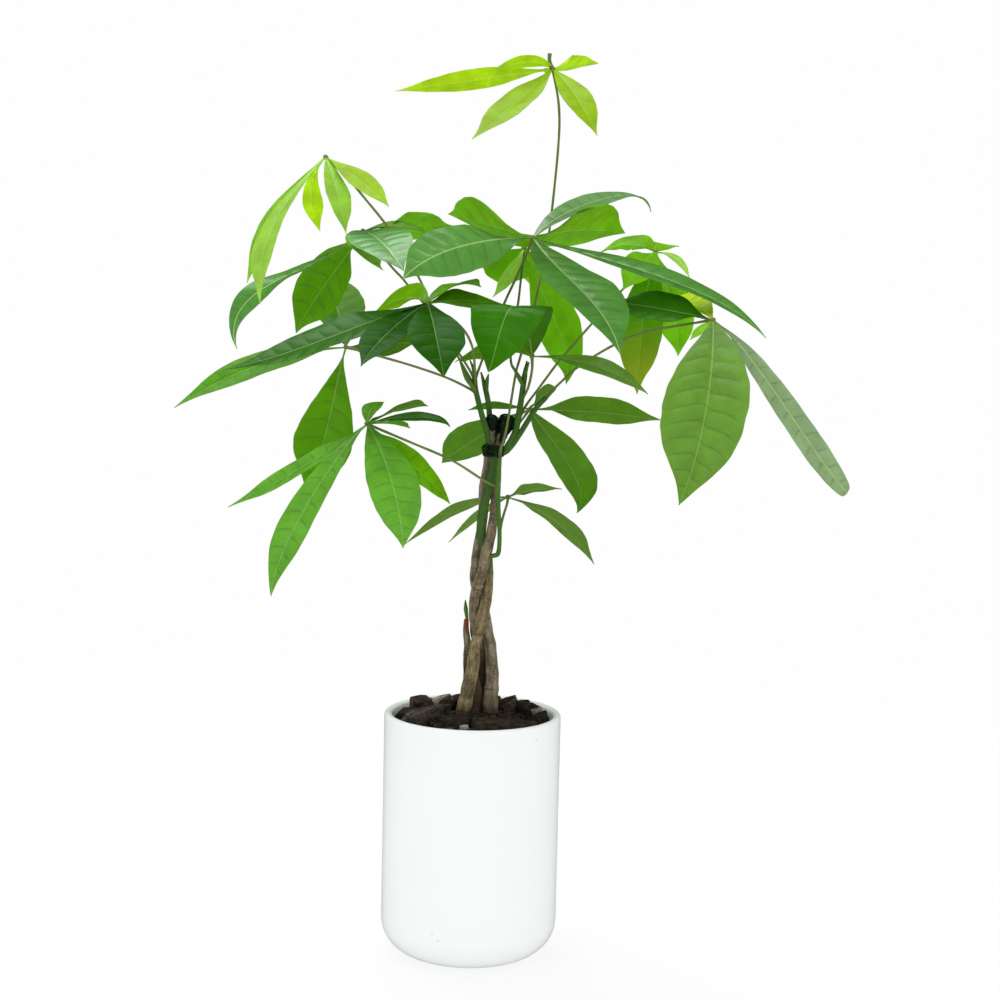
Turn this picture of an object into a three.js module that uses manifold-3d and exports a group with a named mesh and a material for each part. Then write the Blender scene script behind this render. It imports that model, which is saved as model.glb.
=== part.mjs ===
// Potted money tree: a white cylinder pot, bark soil, braided stems held by a tie, and palmate leaves.
// Millimetres, +Z up. The origin is the centre of the pot's underside, and the front faces -Y.
import * as THREE from 'three';
import { mergeVertices } from 'three/addons/utils/BufferGeometryUtils.js';
import Module from 'manifold-3d';

const wasm = await Module();
wasm.setup();

// Driving dimensions of the pot and soil
const POT_RADIUS = 66.5;
const POT_HEIGHT = 182;
const POT_WALL = 6;
const POT_FOOT_RADIUS = 25;
const POT_FLOOR = 8;
const POT_INNER_CORNER = 14;
const POT_SIDES = 40;
const SOIL_AT_WALL = 176;
const SOIL_AT_MIDDLE = 181;
const SEAT_GAP = 0.33;
const CHIP_SEED = 11;
const CHIP_CORNER_SHIFT = [2, 1.2, 1];
const CHIP_LEAN = 0.12;

// Driving dimensions of the growth
const BLADE_THICKNESS = 0.8;
const BLADE_STATIONS = 8;
const BLADE_BELLY = 0.52;
const BLADE_FOLD = Math.tan(THREE.MathUtils.degToRad(14));
const BLADE_DROOP = 0.45;
const BLADE_WAVE = 0.016;
const BLADE_WAVES = 2.5;
const BLADE_STUB = 0.9;
const BLADE_TIP = 0.35;
const TURN_REACH = 0.35;
const TWIST_START = 0.4;
const STALK_RADIUS = 1.15;
const STALK_SIDES = 6;
const STALK_STEP = 20;
const HUB_RADIUS = 2.1;
const STEM_SIDES = 9;
const STEM_STEP = 10;
const BRANCH_SIDES = 6;
const BRANCH_STEP = 12;

// The plant's growth points are given as they stand in a front view: a column and a row of a
// 1000 by 1000 view, and a depth in millimetres behind the pot's axis. The view's eye stands
// 1250 mm in front of the pot, a little above the lower leaves, and looks slightly down.
const EYE = new THREE.Vector3(17, -1250, 454.3);
const EYE_PITCH = THREE.MathUtils.degToRad(5.1);
const VIEW_ROLL = THREE.MathUtils.degToRad(1.3);
const VIEW_FOCAL = 1682;
const VIEW_MIDDLE = 500;

// Turns a growth point of the front view into its place in space.
function seen([column, row, depth]) {
  const across = (column - VIEW_MIDDLE) / VIEW_FOCAL;
  const above = (VIEW_MIDDLE - row) / VIEW_FOCAL;
  const right = across * Math.cos(VIEW_ROLL) - above * Math.sin(VIEW_ROLL);
  const up = across * Math.sin(VIEW_ROLL) + above * Math.cos(VIEW_ROLL);
  const sight = new THREE.Vector3(
    right,
    Math.cos(EYE_PITCH) + up * Math.sin(EYE_PITCH),
    up * Math.cos(EYE_PITCH) - Math.sin(EYE_PITCH)
  );
  return sight.multiplyScalar((depth - EYE.y) / sight.y).add(EYE);
}

// Stems: each path point is [column, row, depth, radius in mm].
const STEMS = {
  stem_left: [
    [460, 765, -8, 6.0], [461.5, 722, -8, 6.2], [468, 690, -10, 5.0], [473, 667, -11, 4.6],
    [476.4, 643, -10, 4.1], [480.8, 622, -10.5, 4.1], [485.8, 600, -6.5, 3.8], [488.3, 578, -1.5, 3.6],
    [488, 557, 1, 3.5], [483.5, 545, 0, 3.4], [481, 530, -3.5, 3.3], [482, 515, -5, 3.3],
    [485, 502, -5, 3.3], [488, 490, -5, 3.2], [492, 475, -5, 3.1], [495.5, 460, -4, 3.0],
    [499, 446, -2, 2.8],
  ],
  stem_right: [
    [488.5, 765, -3, 5.8], [489, 722, -3, 6.0], [491.2, 691, -2, 5.3], [492.6, 672, 0, 4.6],
    [491.2, 652, 2, 4.2], [488.5, 635, 3.5, 4.1], [484, 612, 5, 4.2], [479, 595, 5, 4.1],
    [475.5, 582, 4.5, 3.9], [475.5, 570, 4.5, 3.8], [477.2, 553, 6.5, 3.7], [479.5, 540, 7.3, 3.6],
    [482.5, 520, 4.5, 3.5], [483.6, 487, 4, 3.5], [487, 470, 3, 3.4], [489, 455, 2.5, 3.4],
    [490, 440, 2, 3.3], [492, 419, 1, 3.5],
  ],
  stem_back: [
    [485, 760, 10, 4.6], [484, 705, 10, 5.0], [483, 675, 10, 4.7], [481, 660, 9, 4.6],
    [479, 645, 6.5, 4.4], [475.5, 629, 2, 4.2], [474.2, 612, -2, 3.9], [475.2, 594, -7, 3.8],
    [482.5, 572, -8.5, 3.8], [486, 555, -8, 3.8], [489.8, 538, -6.4, 3.6], [493, 522, -3, 3.5],
    [495, 508, 1, 3.5], [496, 490, 4, 3.4], [497, 470, 5, 3.4], [498, 450, 6, 3.3],
    [502, 434, 6, 3.6], [507.5, 420, 5, 4.6],
  ],
};

// What each stem bears, fused to it, with the same kind of points: the root that flares out beside
// the left stem's foot, then the green side growth.
const BRANCHES = {
  stem_left: [
    [
      [474, 672, -8, 2.5], [476.5, 690, -7, 3.6], [475, 707, -6, 4.6], [473, 722, -6, 5.0],
      [473, 765, -6, 5.0],
    ],
    [
      [499, 449, -2, 2.6], [504, 452, 1, 2.5], [512, 445, 2, 2.2], [521, 432, 1, 2.1],
      [535.6, 409, -2, 2.0], [546, 397.5, -5, 1.8],
    ],
    [
      [504, 452, 1, 2.4], [513, 437, 2, 2.4], [516.5, 427, 1, 2.4], [521, 401, 0, 2.2],
      [524.5, 376, -2, 2.1], [527, 361, -5, 0.6],
    ],
    [[523.5, 386, -2, 1.6], [518, 376, -7, 1.5], [511, 363, -10, 0.5]],
    [[525, 374, -3, 1.6], [529, 362, -6, 0.5]],
  ],
  stem_right: [
    [
      [489, 446, 2, 2.6], [487.5, 434, -2, 2.3], [481.3, 412.7, -6, 2.1], [476, 391, -8, 2.0],
      [474.5, 377, -9, 1.9],
    ],
    [[476, 391, -8, 1.7], [467, 378, -14, 2.0], [460, 362, -18, 0.5]],
    [[475, 384, -8, 1.7], [474, 371, -8, 1.5], [470, 360, -8, 0.5]],
    [[490, 430, 3, 2.4], [489.5, 415, 6, 2.1], [488, 401, 5, 2.0], [485, 387, 4, 2.0], [481, 372, 4, 0.6]],
    [[486, 392, 4, 1.7], [487, 381, 3, 1.5], [488.5, 374, 2, 0.5]],
  ],
  stem_back: [
    [
      [488, 556, -8, 1.5], [494, 555.5, -10, 1.8], [498.5, 552, -11, 1.7], [499.5, 532, -11, 1.6],
      [498, 501, -12, 1.6], [497.5, 482, -12.5, 1.6], [500, 458, -13, 1.5],
    ],
  ],
};

// The short cut-back stem at the left of the base, and the bud on it.
const STUB = [
  [468.5, 760, 6, 2.6], [467.5, 700, 4, 2.9], [467, 660, 2, 2.7], [467.4, 645, 1, 2.6],
  [466.2, 630, 1, 2.3], [466.3, 619, 1, 1.7],
];
const STUB_BUD = [[467.2, 621, 1, 1.0], [465.8, 609, 1, 1.7], [465.4, 600, 1, 0.4]];

// Leaves: hub and tips are [column, row, depth]. A leaflet runs from the hub through its via
// points to its tip. Width is in mm, and roll turns it about its rib in degrees. Belly is how far
// along it is widest, twist turns its outer half further, and a full below 1 makes its ends blunt.
// Fold is its share of the usual fold, and one below 0 makes it arch.
const LEAVES = {
  leaf_top: {
    on: 'stem_back',
    hub: [553, 69, 0],
    spur: [[552.5, 69, 0, 1.2], [549.5, 61, 0, 0.9], [549.8, 53.5, 0, 0.6]],
    stalk: [
      [500, 457, -13], [501, 448, -14], [504.5, 437, -14], [508, 420, -10], [515.5, 375, 2],
      [520, 358, 8], [531, 320, 10], [538, 290, 10], [544, 260, 42], [550, 226, 60], [558, 150, 26],
      [559, 108, 6],
    ],
    leaflets: [
      { tip: [396, 91, 20], via: [[468, 81, 12]], width: 17.5, roll: -48, belly: 0.45 },
      { tip: [487, 87, -25], via: [[531, 62, -4], [503, 68, -14]], width: 12, roll: -40, belly: 0.4 },
      { tip: [472, 139, -72], via: [[516, 103, -38]], width: 27, roll: 12 },
      { tip: [597, 135, -64], via: [[576, 97, -38]], width: 22, roll: -12 },
      { tip: [598, 63.5, 75], via: [[568, 65.5, 40]], width: 24, roll: 30, belly: 0.38, full: 0.7 },
    ],
  },
  leaf_upper_left: {
    on: 'stem_right',
    hub: [325.5, 157, 26],
    stalk: [
      [474.5, 379, -8], [469, 369, 1], [460, 355, 8], [445, 335, 14], [429, 300, 17], [419, 278, 8],
      [403, 252, 8], [387, 226, 8], [367, 201, 11], [350, 181, 17],
    ],
    leaflets: [
      { tip: [260, 304, -55], via: [[284, 207, -9], [264, 252, -35]], width: 22, roll: -14, belly: 0.58 },
      { tip: [247, 283, 49], via: [[291, 194, 44], [265, 236, 55]], width: 19, roll: -20, belly: 0.62 },
      { tip: [320, 231, 96], via: [[312, 188, 72]], width: 16, roll: -8, belly: 0.7 },
      { tip: [346, 233, -8], via: [[337, 193, -2]], width: 20, roll: 6 },
      { tip: [389, 206.5, -20], via: [[361, 181, 2]], width: 18, roll: -30 },
    ],
  },
  leaf_left_high: {
    on: 'stem_right',
    hub: [363, 231, 12],
    stalk: [
      [475.5, 388, -9], [467, 373, -5], [455, 352, -1], [440, 330, 5], [424, 304, 11], [413, 292, 15],
      [403, 279, 17], [390, 265, 16],
    ],
    leaflets: [
      { tip: [237, 349, -14], via: [[315, 263, 9], [281, 279, 6], [246, 303, -4]], width: 24, roll: 12,
        twist: 60, belly: 0.56 },
      { tip: [296, 333, 34], via: [[341, 263, 26], [316, 298, 34]], width: 44, roll: 80, belly: 0.58 },
      { tip: [404, 271, -84], via: [[382, 243, -49]], width: 44, roll: -12, belly: 0.45 },
      { tip: [455, 226, 96], via: [[408, 231, 64]], width: 43, roll: 34, belly: 0.44 },
      { tip: [430, 235, 20], via: [[399, 226, 25]], width: 18, roll: -20 },
      { tip: [383, 270, -29], via: [[362, 250, -12]], width: 30, roll: 20 },
    ],
  },
  leaf_middle_left: {
    on: 'stem_right',
    hub: [427, 303, -64],
    stalk: [[475.5, 386, -9], [475, 372, -21], [472, 346, -37], [459, 325, -52]],
    leaflets: [
      { tip: [222, 370, -90], via: [[355, 328, -78], [290, 352, -87]], width: 38, roll: 26, belly: 0.42 },
      { tip: [361, 366, -139], via: [[388, 333, -104]], width: 28, roll: 14 },
      { tip: [444, 377, -162], via: [[433, 323, -119]], width: 38, roll: 0, belly: 0.68 },
      { tip: [502, 304, -30], via: [[464, 301, -54]], width: 30, roll: -26 },
      { tip: [481, 287, -14], via: [[456, 285, -41]], width: 24, roll: 8 },
      { tip: [368, 319, -20], via: [[402, 299, -38]], width: 32, roll: 40 },
    ],
  },
  leaf_left: {
    on: 'stem_right',
    hub: [346, 347, 38],
    stalk: [[477, 394, -8], [470, 389, -3], [445, 377, 5], [410, 365, 16], [375, 355, 29]],
    leaflets: [
      { tip: [174.5, 407.5, -20], via: [[290, 356, 17], [232, 376, 0]], width: 26, roll: 34 },
      { tip: [306, 494, 14], via: [[336, 388, 24], [324, 440, 18]], width: 44, roll: 46, belly: 0.68 },
      { tip: [325, 272, 133], via: [[336, 305, 99]], width: 46, roll: 0 },
      { tip: [420, 341, 87], via: [[384, 344, 67]], width: 26, roll: 60 },
    ],
  },
  leaf_low_left: {
    on: 'stem_back',
    hub: [367, 424, -49],
    stalk: [
      [498, 487, -12], [490, 484, -14], [480, 478, -18], [460, 465, -23], [443, 456, -31],
      [405, 440, -44],
    ],
    leaflets: [
      { tip: [228, 507, -32], via: [[298, 470, -38]], width: 26, roll: 30 },
      { tip: [271, 596, -110], via: [[332, 466, -81], [292, 533, -104]], width: 27, roll: 14, belly: 0.6 },
      { tip: [403, 548, -125], via: [[385, 462, -96], [398, 508, -116]], width: 36, roll: -4 },
      { tip: [450, 504, -9], via: [[396, 452, -32], [428, 480, -20]], width: 30, roll: -50 },
      { tip: [384, 402, -14], via: [[372, 408, -32]], width: 14, roll: 0 },
      { tip: [450, 427, -58], via: [[397, 418.5, -52], [430, 418.5, -55]], width: 16, roll: -20 },
      { tip: [428, 406, 6], via: [[400, 409, -20]], width: 20, roll: 28 },
      { tip: [410, 428, -96], via: [[388, 423, -72]], width: 20, roll: 0 },
    ],
  },
  leaf_centre: {
    on: 'stem_right',
    hub: [533, 238, -29],
    stalk: [
      [475, 379, -8.5], [480, 366, -12], [486, 350, -16], [504, 304, -23], [516, 278, -28],
      [530, 246, -30],
    ],
    leaflets: [
      { tip: [403, 279, -104], via: [[480, 242, -61], [435, 256, -87]], width: 44, roll: 45, belly: 0.5,
        fold: -0.6 },
      { tip: [620, 354, -133], via: [[562, 272, -72], [596, 307, -110]], width: 56, roll: 2 },
      { tip: [766, 338, -78], via: [[610, 261, -49], [698, 292, -70]], width: 30, roll: -18 },
      { tip: [651, 212, 87], via: [[565, 214, 5], [597, 201, 38], [630, 195.5, 66]], width: 24, roll: -16,
        belly: 0.42 },
      { tip: [625, 233, 72], via: [[578, 230, 32]], width: 56, roll: 34, belly: 0.52, full: 0.95 },
      { tip: [448, 214, 90], via: [[490, 225, 38]], width: 54, roll: -38, belly: 0.46 },
    ],
  },
  leaf_inner: {
    on: 'stem_left',
    hub: [524, 248, 49],
    stalk: [[524, 383, 0], [518, 374, 10], [511, 362, 17], [512, 332, 30], [518, 304, 44]],
    leaflets: [
      { tip: [493, 297, 17], via: [[510, 275, 30]], width: 11, roll: 20 },
      { tip: [533, 288, 102], via: [[530, 268, 78]], width: 28, roll: -10 },
      { tip: [566, 384, 44], via: [[546, 300, 38], [564, 345, 44]], width: 36, roll: -60 },
      { tip: [505, 287, 62], via: [[511, 268, 54]], width: 46, roll: -20 },
      { tip: [566, 266, 96], via: [[546, 254, 72]], width: 24, roll: -10 },
    ],
  },
  leaf_upper_right: {
    on: 'stem_left',
    hub: [656, 252, 70],
    stalk: [
      [520, 416, 0], [527, 404, 7], [539, 388, 11], [559, 361, 18], [567, 352, 23], [588, 328, 35],
      [624, 288, 56], [635, 276, 64],
    ],
    leaflets: [
      { tip: [598, 254, 90], via: [[628, 245, 84]], width: 34, roll: 24, belly: 0.42 },
      { tip: [623, 290, 12], via: [[640, 266, 35]], width: 26, roll: 30 },
      { tip: [637, 394, 29], via: [[646, 300, 46], [640, 350, 38]], width: 36, roll: -8 },
      { tip: [678, 356, 64], via: [[668, 290, 64], [676, 325, 64]], width: 32, roll: -60 },
      { tip: [690, 279, 44], via: [[676, 259, 58]], width: 8, roll: -20 },
      { tip: [632, 250, 128], via: [[649, 241, 102]], width: 50, roll: 0, fold: -0.8 },
    ],
  },
  leaf_right: {
    on: 'stem_left',
    hub: [713, 320, -90],
    stalk: [
      [545, 399, -5], [553, 390, -7], [560, 383, -9], [578, 367, -5], [612, 346, -13],
      [645, 332, -34], [689, 324, -72],
    ],
    leaflets: [
      { tip: [679, 505, -160], via: [[711, 374, -133], [700, 440, -157]], width: 58, roll: 0 },
      { tip: [847, 493.5, -84], via: [[756, 366, -84], [802, 432, -90]], width: 19, roll: -75, belly: 0.72,
        full: 0.28 },
      { tip: [612, 302, -58], via: [[660, 309, -75]], width: 36, roll: 34 },
      { tip: [670, 298, -9], via: [[691, 302, -44]], width: 24, roll: 20 },
      { tip: [690, 340, -100], via: [[701, 330, -96]], width: 8, roll: 20 },
    ],
  },
  leaf_middle: {
    on: 'stem_left',
    hub: [532, 356, -17],
    stalk: [[522, 399, 0], [528, 388, -7], [532, 370, -13]],
    leaflets: [
      { tip: [488, 372, -99], via: [[525, 321, -50], [512, 307, -87], [499, 336, -99]], width: 54, roll: 4,
        fold: 0.3 },
      { tip: [648, 394, -67], via: [[594, 366, -49]], width: 25, roll: -18 },
      { tip: [455, 362, 44], via: [[492, 350, 14]], width: 40, roll: 30 },
    ],
  },
  leaf_mid_right: {
    on: 'stem_left',
    hub: [530, 409, 32],
    stalk: [[514, 434, 2], [519, 424, 16]],
    leaflets: [
      { tip: [661, 420, 20], via: [[597, 412, 29]], width: 33, roll: 40 },
      { tip: [577, 513, 90], via: [[554, 442, 61], [577, 480, 87]], width: 40, roll: 0 },
      { tip: [556, 389, 58], via: [[542, 396, 44]], width: 14, roll: 75, belly: 0.6, full: 0.6 },
      { tip: [468, 410, 81], via: [[500, 406.5, 58]], width: 16, roll: -20 },
      { tip: [442, 463, 119], via: [[472, 441, 93]], width: 32, roll: -38 },
    ],
  },
  leaf_low_right: {
    on: 'stem_back',
    hub: [508, 497, 22],
    stalk: [[499.5, 532, -11], [503, 517, -4], [507, 504, 10]],
    leaflets: [
      { tip: [562, 489, 17], via: [[532, 490, 23]], width: 24, roll: 22, belly: 0.45 },
      { tip: [594, 564, 64], via: [[557, 522, 52]], width: 29, roll: 10 },
      { tip: [405, 544, 61], via: [[463, 508, 49]], width: 26, roll: -10 },
      { tip: [449, 542, 110], via: [[482, 513, 72]], width: 12, roll: 0 },
    ],
  },
};

// Large bark chips on the soil: centre x and y, length, width, height, turn in degrees, and lift of
// the centre above the soil.
const CHIPS = [
  [-33, -12, 50, 13, 11, 56, 2.0],
  [-39, 13, 18, 15, 12, 10, 4.5],
  [-25, 23, 20, 9, 9, 50, 4.5],
  [-18, 10, 12, 11, 9, 40, 3.5],
  [-11, -35, 22, 14, 10, -5, 1.0],
  [25, -34, 48, 19, 10, 8, 0.5],
  [27, 11, 16, 11, 14, 70, 4.5],
  [42, 8, 13, 14, 11, 30, 4.0],
  [50, -10, 9, 20, 9, -20, 2.0],
  [-48, -8, 10, 14, 10, 60, 1.5],
  [10, 40, 22, 12, 10, -20, 2.5],
  [36, 36, 18, 12, 10, -45, 1.5],
  [-10, 50, 16, 9, 9, 15, 1.5],
  [-42, -34, 18, 11, 8, -35, 1.0],
  [-20, -53, 15, 4, 5, 8, 1.5],
];

// The tie: a band wound around the three stems where they meet, with its knot at the left.
const TIE_LOW = [494, 456, 0];
const TIE_HIGH = [494.5, 445.5, 0];
const TIE_THICKNESS = 1.3;
const TIE_EASE = 0.5;
const TIE_MARGIN = 4;
const TIE_KNOT = [486.5, 449, -1];
const TIE_KNOT_SIZE = [4.5, 5, 7.5];

// Wax caps on the cut tops of two stems.
const WAX_RIGHT = { height: 3.6, radius: 4.4 };
const WAX_BACK = { height: 4.6, radius: 6.2 };

// A closed solid skinned over rings of points. The lower half of each ring is split the same way
// as the upper half when the ring is a blade, so that both faces of a waved blade stay parallel.
function skin(rings, mirrored = false) {
  const count = rings[0].length;
  const places = rings.flat().flatMap((p) => [p.x, p.y, p.z]);
  const index = [];
  for (let i = 0; i < rings.length - 1; i++) {
    for (let k = 0; k < count; k++) {
      const next = (k + 1) % count;
      const a = i * count + k;
      const b = i * count + next;
      const c = (i + 1) * count + next;
      const d = (i + 1) * count + k;
      if (mirrored && k >= count / 2) {
        index.push(a, b, d, b, c, d);
      } else {
        index.push(a, b, c, a, c, d);
      }
    }
  }
  for (let k = 1; k < count - 1; k++) {
    index.push(0, k + 1, k);
    const last = (rings.length - 1) * count;
    index.push(last, last + k, last + k + 1);
  }
  const geometry = new THREE.BufferGeometry();
  geometry.setAttribute('position', new THREE.Float32BufferAttribute(places, 3));
  geometry.setIndex(index);
  return geometry;
}

// A geometry as a Manifold solid, turned to face outward.
function solid(geometry) {
  const plain = geometry.clone();
  plain.deleteAttribute('normal');
  plain.deleteAttribute('uv');
  const merged = mergeVertices(plain, 1e-4);
  const build = (triVerts) => new wasm.Manifold(new wasm.Mesh({
    numProp: 3,
    vertProperties: new Float32Array(merged.attributes.position.array),
    triVerts,
  }));
  const triangles = new Uint32Array(merged.index.array);
  const made = build(triangles);
  if (made.volume() > 0) return made;
  for (let i = 0; i < triangles.length; i += 3) {
    [triangles[i], triangles[i + 1]] = [triangles[i + 1], triangles[i]];
  }
  return build(triangles);
}

// Solids joined into one body. Its sealed hollows are filled and loose scraps dropped.
function fuse(solids) {
  const joined = solids.reduce((all, next) => all.add(next));
  return largest(joined);
}

function largest(body) {
  return body.decompose().reduce((best, piece) => (piece.volume() > best.volume() ? piece : best));
}

// A solid as a three.js geometry.
function geometryOf(body) {
  const mesh = body.getMesh();
  const geometry = new THREE.BufferGeometry();
  geometry.setAttribute('position', new THREE.BufferAttribute(mesh.vertProperties, 3));
  geometry.setIndex(new THREE.BufferAttribute(mesh.triVerts, 1));
  geometry.computeVertexNormals();
  return geometry;
}

// A round stem along a smooth path of [column, row, depth, radius] points, grown by a clearance.
function stem(points, sides, step, clearance = 0) {
  const curve = new THREE.CatmullRomCurve3(points.map(seen), false, 'catmullrom', 0.5);
  const steps = Math.max(3, Math.round(curve.getLength() / step));
  const rings = [];
  for (let i = 0; i <= steps; i++) {
    const t = i / steps;
    const along = t * (points.length - 1);
    const before = Math.min(Math.floor(along), points.length - 2);
    const radius = THREE.MathUtils.lerp(points[before][3], points[before + 1][3], along - before);
    const tangent = curve.getTangent(t);
    const past = i === 0 ? -clearance : i === steps ? clearance : 0;
    const centre = curve.getPoint(t).addScaledVector(tangent, past);
    rings.push(ringAt(centre, tangent, radius + clearance, sides));
  }
  return solid(skin(rings));
}

function ringAt(centre, tangent, radius, sides) {
  const side = new THREE.Vector3(0, 1, 0).cross(tangent).normalize();
  const front = tangent.clone().cross(side);
  const ring = [];
  for (let k = 0; k < sides; k++) {
    const turn = (2 * Math.PI * k) / sides;
    ring.push(centre.clone()
      .addScaledVector(side, radius * Math.cos(turn))
      .addScaledVector(front, radius * Math.sin(turn)));
  }
  return ring;
}

// The polynomial through evenly spaced points, at t from 0 to 1.
function through(points, t) {
  const last = points.length - 1;
  const sum = new THREE.Vector3();
  points.forEach((point, i) => {
    let weight = 1;
    for (let j = 0; j <= last; j++) {
      if (j !== i) weight *= (t * last - j) / (i - j);
    }
    sum.addScaledVector(point, weight);
  });
  return sum;
}

// Half of a leaflet's outline: widest at the belly, pointed at both ends unless it is full.
function halfWidth(width, belly, full, t) {
  const bellyPower = Math.log(0.5) / Math.log(belly);
  const swell = Math.max(0, Math.sin(Math.PI * t ** bellyPower)) ** full;
  return Math.max((width / 2) * swell, THREE.MathUtils.lerp(BLADE_STUB, BLADE_TIP, t));
}

// One leaflet: a thin blade along its rib, folded up a little at the rib with drooping, waved edges.
function leaflet(hub, { tip, via, width, roll, belly = BLADE_BELLY, twist = 0, full = 1, fold = 1 }) {
  const points = [hub, ...via, tip].map(seen);
  const away = points[points.length - 1].clone().sub(points[0]);
  const level = new THREE.Vector3(away.y, -away.x, 0).normalize();
  const rings = [];
  for (let i = 0; i <= BLADE_STATIONS; i++) {
    const t = i / BLADE_STATIONS;
    const ahead = through(points, Math.min(1, t + 0.01));
    const tangent = ahead.sub(through(points, Math.max(0, t - 0.01))).normalize();
    const flat = level.clone().addScaledVector(tangent, -level.dot(tangent)).normalize();
    const up = flat.clone().cross(tangent);
    const rolled = roll * THREE.MathUtils.smoothstep(t, 0, TURN_REACH);
    const twisted = twist * THREE.MathUtils.smoothstep(t, TWIST_START, 1);
    const turn = THREE.MathUtils.degToRad(rolled + twisted);
    const side = flat.clone().multiplyScalar(Math.cos(turn)).addScaledVector(up, Math.sin(turn));
    const face = up.clone().multiplyScalar(Math.cos(turn)).addScaledVector(flat, -Math.sin(turn));
    const half = halfWidth(width, belly, full, t);
    const edge = half * BLADE_FOLD * fold * (1 - BLADE_DROOP);
    const wave = width * BLADE_WAVE * Math.sin(Math.PI * t) * Math.sin(2 * Math.PI * BLADE_WAVES * t);
    const rib = through(points, t);
    const place = (across, rise, half2) => rib.clone()
      .addScaledVector(side, across)
      .addScaledVector(face, rise + half2);
    const thick = BLADE_THICKNESS / 2;
    rings.push([
      place(-half, edge + wave, thick), place(0, 0, thick), place(half, edge - wave, thick),
      place(half, edge - wave, -thick), place(0, 0, -thick), place(-half, edge + wave, -thick),
    ]);
  }
  return solid(skin(rings, true));
}

// A whole leaf: its stalk, the hub at the stalk's end and the leaflets around it. Its foot is cut
// to the stem that it grows from and stands the seating gap away from it.
function leaf({ hub, spur, stalk, leaflets }, stemBody) {
  const path = [...stalk, hub].map((point) => [...point, STALK_RADIUS]);
  const knot = new THREE.IcosahedronGeometry(HUB_RADIUS, 0).translate(...seen(hub).toArray());
  const parts = [stem(path, STALK_SIDES, STALK_STEP), solid(knot)];
  if (spur) parts.push(stem(spur, STALK_SIDES, STALK_STEP));
  leaflets.forEach((blade) => parts.push(leaflet(hub, blade)));
  return largest(fuse(parts).subtract(stemBody));
}

// A small repeatable random source, so that the chips fall the same way each time.
function dice(seed) {
  let state = seed;
  return () => {
    state = (state * 48271) % 2147483647;
    return state / 2147483647;
  };
}

// The soil's height at a distance from the pot's axis: a low mound.
function soilTop(radius) {
  const reach = POT_RADIUS - POT_WALL;
  return SOIL_AT_MIDDLE + (SOIL_AT_WALL - SOIL_AT_MIDDLE) * (radius / reach) ** 2;
}

// A profile turned about the pot's axis.
function turned(points) {
  return new THREE.LatheGeometry(points, POT_SIDES).rotateX(Math.PI / 2);
}

function arc(centreX, centreY, radius, from, to, steps) {
  const points = [];
  for (let i = 0; i <= steps; i++) {
    const turn = THREE.MathUtils.degToRad(from + ((to - from) * i) / steps);
    points.push(new THREE.Vector2(centreX + radius * Math.cos(turn), centreY + radius * Math.sin(turn)));
  }
  return points;
}

function potBody() {
  const inner = POT_RADIUS - POT_WALL;
  const lip = POT_WALL / 2;
  return turned([
    new THREE.Vector2(0, 0),
    ...arc(POT_RADIUS - POT_FOOT_RADIUS, POT_FOOT_RADIUS, POT_FOOT_RADIUS, -90, 0, 5),
    ...arc(POT_RADIUS - lip, POT_HEIGHT - lip, lip, 0, 180, 4),
    ...arc(inner - POT_INNER_CORNER, POT_FLOOR + POT_INNER_CORNER, POT_INNER_CORNER, 0, -90, 3),
    new THREE.Vector2(0, POT_FLOOR),
  ]);
}

function soilBody() {
  const reach = POT_RADIUS - POT_WALL - SEAT_GAP;
  const floor = POT_FLOOR + SEAT_GAP;
  const corner = POT_INNER_CORNER;
  const top = [];
  for (let i = 0; i <= 3; i++) {
    const radius = reach * (1 - i / 3);
    top.push(new THREE.Vector2(radius, soilTop(radius)));
  }
  return solid(turned([
    new THREE.Vector2(0, floor),
    ...arc(reach - corner, floor + corner, corner, -90, 0, 3),
    ...top,
  ]));
}

// The large bark chips: blocks with corners that are a little off, each laid at its own place.
function chips() {
  const roll = dice(CHIP_SEED);
  const within = (reach) => reach * (2 * roll() - 1);
  return CHIPS.map(([x, y, length, width, height, turn, lift]) => {
    const chip = new THREE.BoxGeometry(length, width, height);
    const corners = chip.attributes.position;
    const offsets = Array.from({ length: 8 }, () => CHIP_CORNER_SHIFT.map(within));
    for (let k = 0; k < corners.count; k++) {
      const [right, back, top] = [corners.getX(k) > 0, corners.getY(k) > 0, corners.getZ(k) > 0];
      const [dx, dy, dz] = offsets[(right ? 1 : 0) + (back ? 2 : 0) + (top ? 4 : 0)];
      corners.setXYZ(k, corners.getX(k) + dx, corners.getY(k) + dy, corners.getZ(k) + dz);
    }
    chip.rotateX(within(CHIP_LEAN)).rotateY(within(CHIP_LEAN)).rotateZ(THREE.MathUtils.degToRad(turn));
    return solid(chip.translate(x, y, soilTop(Math.hypot(x, y)) + lift));
  });
}

// The convex loop around a set of level points, in order.
function hullOf(points) {
  const sorted = [...points].sort((a, b) => a.x - b.x || a.y - b.y);
  const half = (list) => {
    const chain = [];
    for (const p of list) {
      while (chain.length > 1) {
        const [a, b] = chain.slice(-2);
        if ((b.x - a.x) * (p.y - a.y) - (b.y - a.y) * (p.x - a.x) > 0) break;
        chain.pop();
      }
      chain.push(p);
    }
    return chain.slice(0, -1);
  };
  return [...half(sorted), ...half(sorted.reverse())];
}

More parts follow.
